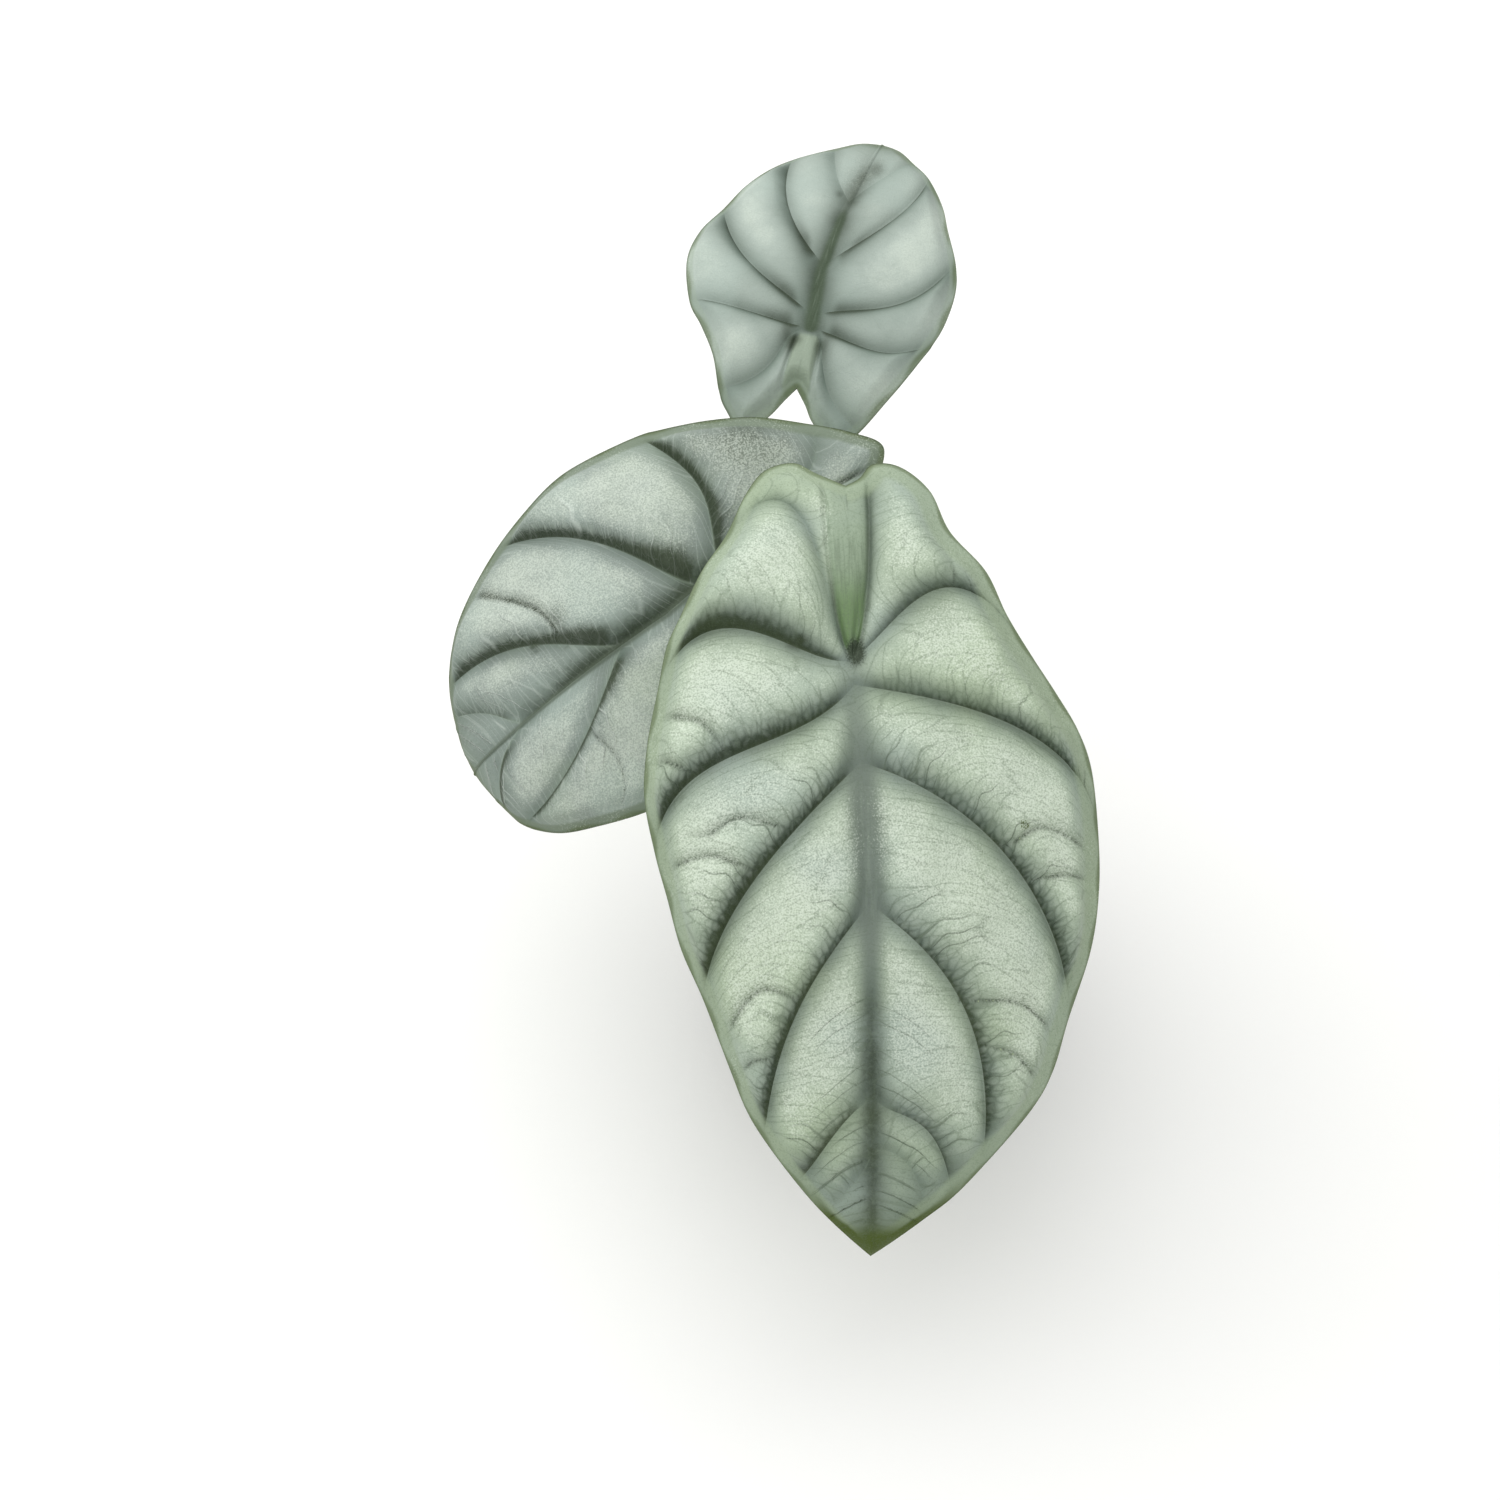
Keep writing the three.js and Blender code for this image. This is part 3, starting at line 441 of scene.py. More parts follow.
def blade_place(leaf, x, y):
    """Points of the smooth blade under its relief, and their upward directions."""
    along, up, across = blade_axes(leaf)
    tip_rate = leaf["tip_bend"][0] / leaf["tip_bend"][1]
    base_rate = leaf["base_bend"][0] / leaf["base_bend"][1]
    curl_from, curl_angle, curl_reach = leaf["curl"]
    towards_tip = follow_bend(np.maximum(y, 0), [
        (curl_from, curl_from * tip_rate),
        (ENDLESS, ENDLESS * (tip_rate + curl_angle / curl_reach))])
    towards_base = follow_bend(np.minimum(y, 0), [(ENDLESS, ENDLESS * base_rate)])
    forward, down, turned = (np.where(y < 0, b, t) for t, b in zip(towards_tip, towards_base))
    normal = np.outer(np.cos(turned), up) + np.outer(np.sin(turned), along)
    negative, positive, reach = leaf["arch"]
    rate = np.radians(np.where(x < 0, negative, positive)) / reach
    lean = rate * x
    point = (np.array(leaf["joint"], float) + np.outer(forward, along) - np.outer(down, up)
             + np.outer(np.sin(lean) / rate, across)
             + normal * ((np.cos(lean) - 1) / rate)[:, None])
    upward = normal * np.cos(lean)[:, None] + np.outer(np.sin(lean), across)
    return point, upward


def spline_at(points, place):
    """Points of a smooth curve through points. place counts them from 0."""
    points = np.asarray(points, float)
    last = len(points) - 1
    i = np.clip(np.floor(place).astype(int), 0, last - 1)
    k = (place - i)[:, None]
    p0, p1 = points[np.maximum(i - 1, 0)], points[i]
    p2, p3 = points[i + 1], points[np.minimum(i + 2, last)]
    v0, v1 = (p2 - p0) / 2, (p3 - p1) / 2
    return ((2 * p1 - 2 * p2 + v0 + v1) * k ** 3 + (3 * p2 - 3 * p1 - 2 * v0 - v1) * k ** 2
            + v0 * k + p1)


def nearest_on_line(xy, line):
    """Distance of each point to a line of straight pieces, and how far it lies on the tip
    side of its nearest place there."""
    nearest = np.full(len(xy), np.inf)
    ahead = np.zeros(len(xy))
    line = np.asarray(line, float)
    for a, b in zip(line[:-1], line[1:]):
        d = b - a
        k = np.clip(((xy - a) @ d) / max(d @ d, 1e-9), 0, 1)
        off = xy - a - np.outer(k, d)
        distance = np.hypot(*off.T)
        ahead = np.where(distance < nearest, off[:, 1], ahead)
        nearest = np.minimum(nearest, distance)
    return nearest, ahead


def distance_to_line(xy, line):
    """Distance of each point to a line of straight pieces."""
    return nearest_on_line(xy, line)[0]


class Half:
    """One side of a leaf's pattern, as arrays."""

    def __init__(self, leaf, side):
        self.leaf = leaf
        veins = leaf["veins"][side]
        points, stops = [], []
        for _, _, end, edge, _ in veins:
            stops.append(len(points))
            points += [end, *edge]
        stops.append(len(points))
        points.append(leaf["notch"])
        self.rim_points = np.array(points, float)
        self.stops = np.array(stops, float)
        notch = np.array(leaf["notch"], float)
        self.via = np.array([[*vein[:2]] for vein in veins] + [[notch / 3, notch * 2 / 3]])
        self.puff = np.array([vein[4] for vein in veins])
        self.roots = np.array(leaf["roots"] + [0.0])
        self.panels = len(veins)
        self.branches = leaf["branches"][side]

    def rim(self, place):
        """Points of the outline. place counts its given points from the tip to the notch."""
        return spline_at(self.rim_points, np.asarray(place, float))

    def point(self, panel, u, t):
        """Pattern point at the share u across a panel and t from the midrib to the rim."""
        spine = np.array(self.leaf["midrib"], float)
        root_y = self.roots[panel] * (1 - u) + self.roots[panel + 1] * u
        root = np.stack([np.interp(root_y, spine[:, 1], spine[:, 0]), root_y], axis=1)
        end = self.rim(self.stops[panel] * (1 - u) + self.stops[panel + 1] * u)
        k = u[:, None]
        near, far = (self.via[panel, i] * (1 - k) + self.via[panel + 1, i] * k for i in (0, 1))
        t = t[:, None]
        return (-4.5 * (t - 1 / 3) * (t - 2 / 3) * (t - 1) * root
                + 13.5 * t * (t - 2 / 3) * (t - 1) * near
                - 13.5 * t * (t - 1 / 3) * (t - 1) * far
                + 4.5 * t * (t - 1 / 3) * (t - 2 / 3) * end)


def distance_along(half, panel, t):
    """Length of a panel's tip-side vein up to the share t."""
    samples = np.linspace(0, 1, 41)
    run = np.zeros_like(t)
    for number in range(half.panels):
        line = half.point(np.full(41, number), np.zeros(41), samples)
        steps = np.hypot(*np.diff(line, axis=0).T)
        here = panel == number
        run[here] = np.interp(t[here], samples, np.concatenate([[0], np.cumsum(steps)]))
    return run


class PanelSkin:
    """Points of one panel in the pattern, how far they lie from its lines, and their relief."""

    def __init__(self, leaf, side, half, outline, panel, u, t):
        self.leaf, self.side, self.half = leaf, side, half
        self.panel, self.u, self.t = panel, u, t
        self.xy = half.point(panel, u, t)
        self.x, self.y = self.xy.T
        tip_side, stalk_side = (half.point(panel, np.full_like(u, edge), t) for edge in (0, 1))
        self.off_tip_vein = np.hypot(*(self.xy - tip_side).T)
        self.off_stalk_vein = np.hypot(*(self.xy - stalk_side).T)
        self.width = np.hypot(*(tip_side - stalk_side).T)
        self.off_midrib = distance_to_line(self.xy, leaf["midrib"])
        self.off_rim = distance_to_line(self.xy, outline)
        self.off_channel = distance_to_line(self.xy, [(0, 0), leaf["notch"]])
        self.along = distance_along(half, panel, t)
        self.y_share = self.y / leaf["roots"][0]
        self.towards_tip = np.clip(self.y_share, 0, 1)
        self.last = panel == half.panels - 1
        self.puff = half.puff[panel] * PANEL_GAIN
        self.band = leaf["rim_band"][side]
        wide, narrow = leaf["strip"]
        self.strip = (wide * (1 - self.towards_tip) + narrow * self.towards_tip) * smooth(
            self.y, -6, 2)
        at_joint, growth = leaf["channel"]
        self.channel_half = at_joint + growth * (1 - np.exp(np.minimum(self.y, 0) / 12))

    def channel_edge(self, wide):
        """1 at the edges of the channel over the stalk, and falling off beside them."""
        return (bell(self.off_channel - self.channel_half, wide) * smooth(-self.y, 0, 4)
                * smooth(self.off_rim, 0.5, 5))

    def height(self):
        """Height of the quilted skin, and the shade beside the side veins in its panels."""
        leaf = self.leaf
        steep = 1 - np.exp(-(self.off_tip_vein / STEEP_RISE) ** 1.25)
        gentle = 0.45 * (1 - np.exp(-self.off_stalk_vein / GENTLE_RISE)) + 0.55 * np.clip(
            self.off_stalk_vein / np.maximum(0.8 * self.width, 0.1), 0, 1)
        beside = smooth(self.u, 0.3, 1)
        height = np.where(
            self.last, self.puff * steep * (1 - beside) + leaf["channel_puff"] * beside,
            self.puff * steep * gentle)
        # Side veins inside the panels: steep towards the stalk, gentle towards the tip
        shade = np.zeros_like(self.u)
        for line in self.half.branches:
            curve = spline_at(line, np.linspace(0, len(line) - 1, CURVE_SAMPLES))
            off, ahead = nearest_on_line(self.xy, curve)
            height = height * (1 - BRANCH_DEPTH * np.exp(-off / np.where(ahead > 0, 3.2, 1.3)))
            shade = np.maximum(shade, 0.6 * np.exp(-off / 0.35) + np.where(
                ahead > 0, 0.1 * np.exp(-off), 0.5 * bell(off, 2.4)))
        beside = np.maximum(0, self.off_midrib - 0.3 * self.strip)
        fall = smooth(self.off_rim, self.band * 0.35, self.band + 2.6)
        height = height * (1 - np.exp(-(beside / MIDRIB_RISE) ** 1.35)) * fall
        height = height - RIM_ROLL * np.maximum(0, 1 - self.off_rim / 3.2) ** 2
        height = height * (1 - leaf["hub_dent"] * bell(self.x, 3) * bell(self.y + 1.5, 4))
        uneven = np.sin(self.x * 0.31 + 1.3) * np.sin(self.y * 0.27 + self.side)
        height = np.where(height > 0, height * (1 + 0.13 * uneven), height)
        return height - 0.9 * self.channel_edge(0.6), shade * fall

    def strengths(self, phase, seed):
        """A random strength from 0 to 1 for each numbered line of each panel."""
        table = np.random.default_rng(seed).random((2, MOST_PANELS, MOST_LINES))
        return table[self.side, self.panel, np.round(phase).astype(int) % MOST_LINES]

    def wrinkles(self):
        """Phases and gains of the folds and ribs, the gain of the ends, and the swell between.

        Folds cross the steep wall at right angles to its vein, then lean out to the rim.
        Short creases stand between them. Ribs are side veins that leave the midrib in a
        herringbone and bend to the tip.
        """
        off, wrinkle = self.off_tip_vein, self.leaf["wrinkle"]
        ends = smooth(self.width, 3, 9) * smooth(self.off_midrib, 1.5, 7) * (
            0.55 + 0.45 * smooth(self.y, -5, 25)) * smooth(self.t, 0.97, 0.86)
        ends = np.where(self.last, 0, ends)
        self.run = self.along - self.leaf["lean"] * off - 0.04 * off ** 2
        wander = (0.4 * np.sin(0.5 * self.along + 0.45 * off + self.panel)
                  + 0.12 * np.sin(1.3 * self.along - 1.1 * off + 2 * self.side))

        place = self.run + wander + self.panel * 1.7 + self.side * 0.9
        fold = place / FOLD_SPACING + 0.3 * np.sin(place * 0.6) + 0.2 * np.sin(place * 0.23 + 2)
        strength = self.strengths(fold, FOLD_SEED)
        reach = np.where(strength > 0.65, 9 + 10 * strength, 5 + 6 * strength)
        reach = np.clip(0.75 * self.width, 0.1, reach)
        fold_gain = wrinkle * ends * smooth(off, reach, 0.5 * reach) * (
            1 - np.exp(-off / 0.6)) * (0.45 + 0.55 * strength)

        place = self.run + 0.8 * wander
        crease = place / CREASE_SPACING + 0.12 * np.sin(place * 1.3) + 0.3 * np.sin(place * 0.41)
        strength = self.strengths(crease, CREASE_SEED)
        crease_gain = wrinkle * ends * smooth(off, 5 + 6 * strength, 2 + 2 * strength) * (
            1 - np.exp(-off / 1.2)) * (0.3 + 0.7 * strength)

        place = self.y - 0.25 * self.off_midrib - 0.035 * self.off_midrib ** 2 + 0.5 * wander
        rib = place / RIB_SPACING + 0.25 * np.sin(place * 0.45) + 0.4 * self.side
        strength = self.strengths(np.abs(rib), RIB_SEED)
        rib_gain = (wrinkle * (0.4 + 0.6 * strength) * smooth(self.y_share, 0.42, 0.6)
                    * (1 + 0.6 * smooth(self.y_share, 0.72, 0.84))
                    * smooth(self.y_share, 0.97, 0.9) * smooth(self.off_midrib, 0.6, 2.2)
                    * smooth(self.off_midrib, 16, 8) * smooth(off, 0.5, 2.5)
                    * smooth(self.off_stalk_vein, 0.5, 2.5))
        swell = sum(
            depth * gain * (np.abs(np.sin(np.pi * phase)) ** 0.6 - 0.8) for phase, gain, depth in (
                (crease, crease_gain, 0.15), (fold, fold_gain, 0.95), (rib, rib_gain, 1.5)))
        return fold, fold_gain, rib, rib_gain, ends, swell

    def fine_relief(self, swell, settings):
        """Swellings, the cord in a groove, the crowned midrib and the line inside the rim."""
        leaf = self.leaf
        cord = np.maximum(bell(self.off_tip_vein, CORD_RADIUS),
                          bell(self.off_stalk_vein, CORD_RADIUS))
        cord = cord * (1 - 0.7 * self.t) * smooth(self.t, 0.01, 0.08)
        cord = np.where(self.last & (self.u > 0.5), 0, cord)
        crown = 0.25 * np.clip(1 - (self.off_midrib / np.maximum(self.strip, 0.1)) ** 2, 0, 1)
        inside_rim = bell(self.off_rim - self.band * 0.95, 0.45) * smooth(self.off_midrib, 4, 10)
        fine = (crown * smooth(self.y, -2, 4) + leaf["cord"] * cord * settings.cord / MM
                + leaf["ridged"] * swell * settings.fold_depth / MM - 0.16 * inside_rim)
        return fine * smooth(self.off_rim, 0, 1.2), cord

    def tones(self, branch_shade):
        """How far the finish has turned to a pale crest, and how dark it is in the grooves."""
        leaf, off, back = self.leaf, self.off_tip_vein, self.off_stalk_vein
        near = leaf["slope"] * np.clip(self.width / 14, 0.25, 1) + 0.2
        # Pale crest: the silver skin between the veins, with painted light; near the veins and the
        # midrib it falls off to the green slopes, with painted shade
        crest = (1 - np.exp(-(off / near) ** 1.4)) * (
            1 - np.where(self.last, 0.3, 0.7) * np.exp(-(back / (0.65 * near)) ** 1.4))
        beside = np.maximum(0, self.off_midrib - 0.3 * self.strip)
        beside = np.exp(-(beside / leaf["midrib_slope"][self.side]) ** 1.4)
        below, above, *change = leaf["midrib_faint"]
        crest = crest * (1 - beside * (1 - below - (above - below) * smooth(self.y, *change)))
        low, high = leaf["shaded"]
        flat = 0.65 * smooth(self.puff, high, 0.5 * low)
        crest = crest + (1 - crest) * flat * (1 - leaf["dull_tip"])
        crest = crest * (1 - leaf["rim_fade"] * smooth(self.off_rim, self.band + 5, self.band))
        crest = crest * (1 - leaf["dull_tip"] * smooth(self.y_share, 0.72, 0.95))

        # Painted shade over the dark green skin: on the steep walls, on the gentle side of a vein,
        # along the midrib, at the channel's edges, beside the branches and in patches
        inner, outer, spread = leaf["wall_ends"]
        outward = smooth(self.t, 0.15, 0.6)
        ends = inner + (outer - inner) * outward
        reach = near * (spread + (1 - spread) * outward)
        wall_green_and_shade = 0.6 * np.exp(-(off / (0.42 * reach)) ** 1.5) + 0.4 * bell(off, 1.05 * reach)
        wall_green_and_shade = wall_green_and_shade * leaf["wall_green_and_shade"][self.side] * ends + 0.3 * np.exp(-off / 0.6)
        wall_green_and_shade = wall_green_and_shade * smooth(self.puff, low, high) * np.where(self.last, 0.6, 1)
        wall_green_and_shade = wall_green_and_shade * np.where(self.panel == leaf["quiet_panels"][self.side], 0.3, 1)
        wall_green_and_shade = wall_green_and_shade * smooth(self.off_midrib, 0.5, 5) * smooth(self.t, 1, 0.86)
        both = leaf["both_sides"]
        gentle = both * bell(back, 0.6 + 4 * both) * smooth(self.off_midrib, 2, 6) * ends
        wall_green_and_shade = wall_green_and_shade + np.where(self.last, 0, gentle)
        strengths, start, stop, reach = leaf["midrib_wall"]
        midrib = strengths[self.side] * np.exp(-(self.off_midrib / reach) ** 1.3) * smooth(
            self.y, *start) * (1 - smooth(self.y, *stop))
        strength, wide, *stretch = leaf["channel_line"][self.side]
        edge = strength * self.channel_edge(wide) * (1 - 0.85 * smooth(-self.y, *stretch))
        shade_marks = [strength * bell(self.x - x, wide) * bell(self.y - y, long)
                 for x, y, wide, long, strength in leaf["shade_marks"]]
        branch = leaf["branch_wall"][self.side] * branch_shade
        return crest, np.clip(np.max([wall_green_and_shade, midrib, edge, branch, *shade_marks], axis=0), 0, 1)

    def underside(self, settings):
        """Depth of the underside below the skin, and how far its raised veins show."""
        rib_radius = np.where(self.last & (self.u > 0.5), 0.1, 0.35 + 1.1 * (1 - self.t) ** 0.8)
        nearest = np.minimum(self.off_tip_vein, self.off_stalk_vein)
        midrib_radius = 2.0 - 1.6 * self.towards_tip
        bulge = smooth(self.off_rim, 0, 3) * np.maximum(
            0.9 * rib_radius * bell(nearest, rib_radius),
            1.1 * midrib_radius * bell(self.off_midrib, midrib_radius))
        thick = settings.thickness / MM * (1 + 0.8 * bell(self.off_tip_vein, 3))
        return thick + bulge, np.clip(bulge, 0, 1)

    def relief(self, settings):
        """Heights without and with fine relief, the blade's depth, and what the finish reads."""
        leaf, x, y = self.leaf, self.x, self.y
        height, branch_shade = self.height()
        fold, fold_gain, rib, rib_gain, ends, swell = self.wrinkles()
        fine, cord = self.fine_relief(swell, settings)
        crest, shade = self.tones(branch_shade)
        depth, under_vein = self.underside(settings)
        channel = smooth(
            self.off_channel, 1.15 * self.channel_half, 0.7 * self.channel_half) * smooth(
                -y, *leaf["channel_from"]) * (1 - 0.6 * smooth(-y, 20, 36))
        from_rim = self.off_rim + 0.4 * np.sin(y * 0.5)
        tip = np.maximum(
            smooth(self.y_share, 0.82, 0.94) * smooth(from_rim, 3.6, 1.4),
            0.45 * smooth(self.y_share, 0.84, 0.95) + 0.55 * smooth(self.y_share, 0.92, 0.965))
        return height, fine, depth, {
            "crest": crest * (1 - 0.5 * channel),
            "shade": shade,
            "cord": leaf["cord"] * np.clip(cord, 0, 1),
            "wall_run": self.run + self.panel * 17.3 + self.side * 41,
            "wall_off": self.off_tip_vein,
            "wall_gain": leaf["wrinkle"] * ends * smooth(self.off_tip_vein, 11, 3) * (
                1 - 0.8 * smooth(self.y_share, 0.72, 0.82)),
            "fold_phase": fold,
            "fold_gain": fold_gain,
            "rib_phase": rib,
            "rib_gain": rib_gain,
            "strip": (1 - smooth(self.off_midrib, 0, leaf["strip_reach"] * self.strip + 0.1)) * (
                1 - smooth(y, *leaf["strip_until"])) * (
                    0.4 + 0.6 * smooth(y, *leaf["strip_from"])),
            "rim": self.off_rim / self.band,
            "tip": np.maximum(leaf["olive_tip"] * tip, 0.55 * smooth(from_rim, 1.4, 0.3)),
            "channel": channel,
            "fresh": channel * smooth(y, -24, -7),
            "hub": leaf["hub"] * bell(x - 0.8, 2.2) * bell(y + 1.6, 3.1),
            "pattern_x": x,
            "pattern_y": y,
            "rubbed": bell(np.hypot(*(self.xy - leaf["rubbed"]).T), 2.2),
            "under_vein": under_vein,
        }


def even(count, least=4):
    """The even number at or above count, and no less than least."""
    return max(least, 2 * math.ceil(count / 2))


def line_length(line):
    """Length of a line of straight pieces."""
    return np.hypot(*np.diff(line, axis=0).T).sum()


def blade_mesh(leaf, settings):
    """Vertices, faces and corner values of a whole blade, upper face, underside and rim."""
    halves = [Half(leaf, side) for side in (0, 1)]
    step = settings.step / MM
    panels = range(halves[0].panels)
    counts = [even(max(line_length(half.rim(np.linspace(*half.stops[number:number + 2], 40)))
                       for half in halves) / step) for number in panels]
    reach = [distance_along(half, np.array([number]), np.array([1.0]))[0]
             for half in halves for number in panels[1:]]
    rows = even(np.mean(reach) / step)
    outline = np.concatenate([half.rim(np.linspace(0, half.stops[-1], RIM_SAMPLES))[::order]
                              for half, order in zip(halves, (1, -1))])

    found, lattices, start = [], ([], []), 0
    for side, half in enumerate(halves):
        for number, count in enumerate(counts):
            across = (np.arange(count + 1) / count) ** CROWDING
            u, t = (share.ravel() for share in np.meshgrid(
                across, np.linspace(0, 1, rows + 1), indexing="ij"))
            skin = PanelSkin(leaf, side, half, outline, np.full(len(u), number), u, t)
            found.append((skin.xy, *skin.relief(settings)))
            lattices[side].append(start + np.arange(len(u)).reshape(count + 1, rows + 1))
            start += len(u)
    xy, heights, fines, depths, values = zip(*found)
    xy = np.concatenate(xy)
    _, weld = np.unique(np.round(xy * 1000).astype(np.int64), axis=0, return_inverse=True)
    weld = weld.ravel()
    total = weld.max() + 1
    share = np.bincount(weld, minlength=total)

    def welded(parts):
        return np.bincount(weld, np.concatenate(parts), minlength=total) / share

    height, fine, depth, x, y = map(welded, (heights, fines, depths, [xy[:, 0]], [xy[:, 1]]))
    base, upward = blade_place(leaf, x, y)
    top = base + upward * (height + fine)[:, None]
    bottom = base + upward * (height - depth)[:, None]

    # Faces of the upper sheet 0 and, twice as coarse, of the underside, sheet 1
    faces, corners, sheets = [], [], []
    for side, mine in enumerate(lattices):
        for ids in mine:
            for skip, sheet in ((1, 0), (2, 1)):
                lattice = ids[::skip, ::skip]
                quads = np.stack([lattice[:-1, :-1], lattice[1:, :-1], lattice[1:, 1:],
                                  lattice[:-1, 1:]], axis=-1).reshape(-1, 4)
                if (side + sheet) % 2:
                    quads = quads[:, ::-1]
                for quad in quads.tolist():
                    kept = [c for i, c in enumerate(quad) if weld[c] != weld[quad[i - 1]]]
                    if len(kept) > 2:
                        faces.append([weld[c] + sheet * total for c in kept])
                        corners.append(kept)
                        sheets.append(sheet)

    # Rounded rim: a middle ring stands proud between the upper and the lower edge
    mid_points, mid_of = [], {}
    for side, mine in enumerate(lattices):
        edge, inside = (np.concatenate([*(ids[:-1, column] for ids in mine),
                                        mine[-1][-1:, column]]) for column in (-1, -3))
        inside[0] = mine[0][2, 0]
        ring = []
        for corner, inner in zip(edge, inside):
            vertex = weld[corner]
            if vertex not in mid_of:
                outward = top[vertex] - top[weld[inner]]
                outward /= max(np.linalg.norm(outward), 1e-9)
                mid_of[vertex] = 2 * total + len(mid_points)
                mid_points.append((top[vertex] + bottom[vertex]) / 2 + RIM_BULGE * outward)
            ring.append((corner, vertex, mid_of[vertex]))
        rim = [([v0, m0, m1, v1], [c0, c0, c1, c1], side)
               for (c0, v0, m0), (c1, v1, m1) in zip(ring, ring[1:]) if v0 != v1]
        rim += [([v0 + total, v2 + total, m2, m1, m0], [c0, c2, c2, c1, c0], 1 - side)
                for (c0, v0, m0), (c1, _, m1), (c2, v2, m2) in zip(
                    ring[::2], ring[1::2], ring[2::2])]
        for face, lattice, turn in rim:
            order = slice(None, None, -1 if turn else 1)
            faces.append(face[order])
            corners.append(lattice[order])
            sheets.append(0)
    vertices = np.concatenate([top, bottom, np.array(mid_points)]) * MM
    corner_of = np.concatenate(corners)
    data = {key: np.concatenate([part[key] for part in values])[corner_of] for key in values[0]}
    data["under"] = np.repeat(sheets, [len(kept) for kept in corners])
    return vertices, faces, data


def mesh_object(name, vertices, faces, material, data=None):
    """A mesh object at the origin. data holds one number for each face corner."""
    used = np.unique(np.concatenate(faces))
    new = np.full(len(vertices), -1)
    new[used] = np.arange(len(used))
    mesh = bpy.data.meshes.new(name)
    mesh.from_pydata(np.asarray(vertices)[used].tolist(), [],
                     [new[face].tolist() for face in faces])
    mesh.polygons.foreach_set("use_smooth", [True] * len(mesh.polygons))
    for key, value in (data or {}).items():
        layer = mesh.attributes.new(key, "FLOAT", "CORNER")
        layer.data.foreach_set("value", np.asarray(value, np.float32))
    mesh.materials.append(material)
    piece = bpy.data.objects.new(name, mesh)
    bpy.context.scene.collection.objects.link(piece)
    return piece


# Finishes


MIX_FACTOR, MIX_A, MIX_B, MIX_RESULT = 0, 6, 7, 2


def new_material(name):
    """A material without nodes, its node tree, and places in the frame of the part."""
    material = bpy.data.materials.new(name)
    material.use_nodes = True
    tree = material.node_tree
    tree.nodes.clear()
    return material, tree, add(tree, "ShaderNodeTexCoord", output="Object")


def add(tree, kind, inputs=None, output=0, **settings):
    """Adds a node with its settings, links or sets its inputs, and returns one output."""
    node = tree.nodes.new(kind)
    for key, value in settings.items():
        setattr(node, key, value)
    for key, value in (inputs or {}).items():
        if isinstance(value, bpy.types.NodeSocket):
            tree.links.new(value, node.inputs[key])
        else:
            node.inputs[key].default_value = value
    return node.outputs[output] if node.outputs else None


def layered(tree, base, layers):
    """Lays colours over base: each shows, up to a share, where its source passes two values."""
    for colour, source, low, high, most in layers:
        if isinstance(colour, str):
            colour = linear(colour)
        mask = add(tree, "ShaderNodeMapRange", {
            "Value": source, "From Min": low, "From Max": high, "To Max": most},
            interpolation_type="SMOOTHSTEP")
        base = add(tree, "ShaderNodeMix", {MIX_FACTOR: mask, MIX_A: base, MIX_B: colour},
                   MIX_RESULT, data_type="RGBA")
    return base


def finish_surface(tree, colour, roughness, ior, height, relief):
    """Closes a material: colour and roughness, and a bump whose height is relief mm deep."""
    bump = add(tree, "ShaderNodeBump", {
        "Strength": 1.0, "Distance": relief * MM, "Height": height})
    shader = add(tree, "ShaderNodeBsdfPrincipled", {
        "Base Color": colour, "Roughness": roughness, "IOR": ior, "Normal": bump})
    add(tree, "ShaderNodeOutputMaterial", {"Surface": shader})


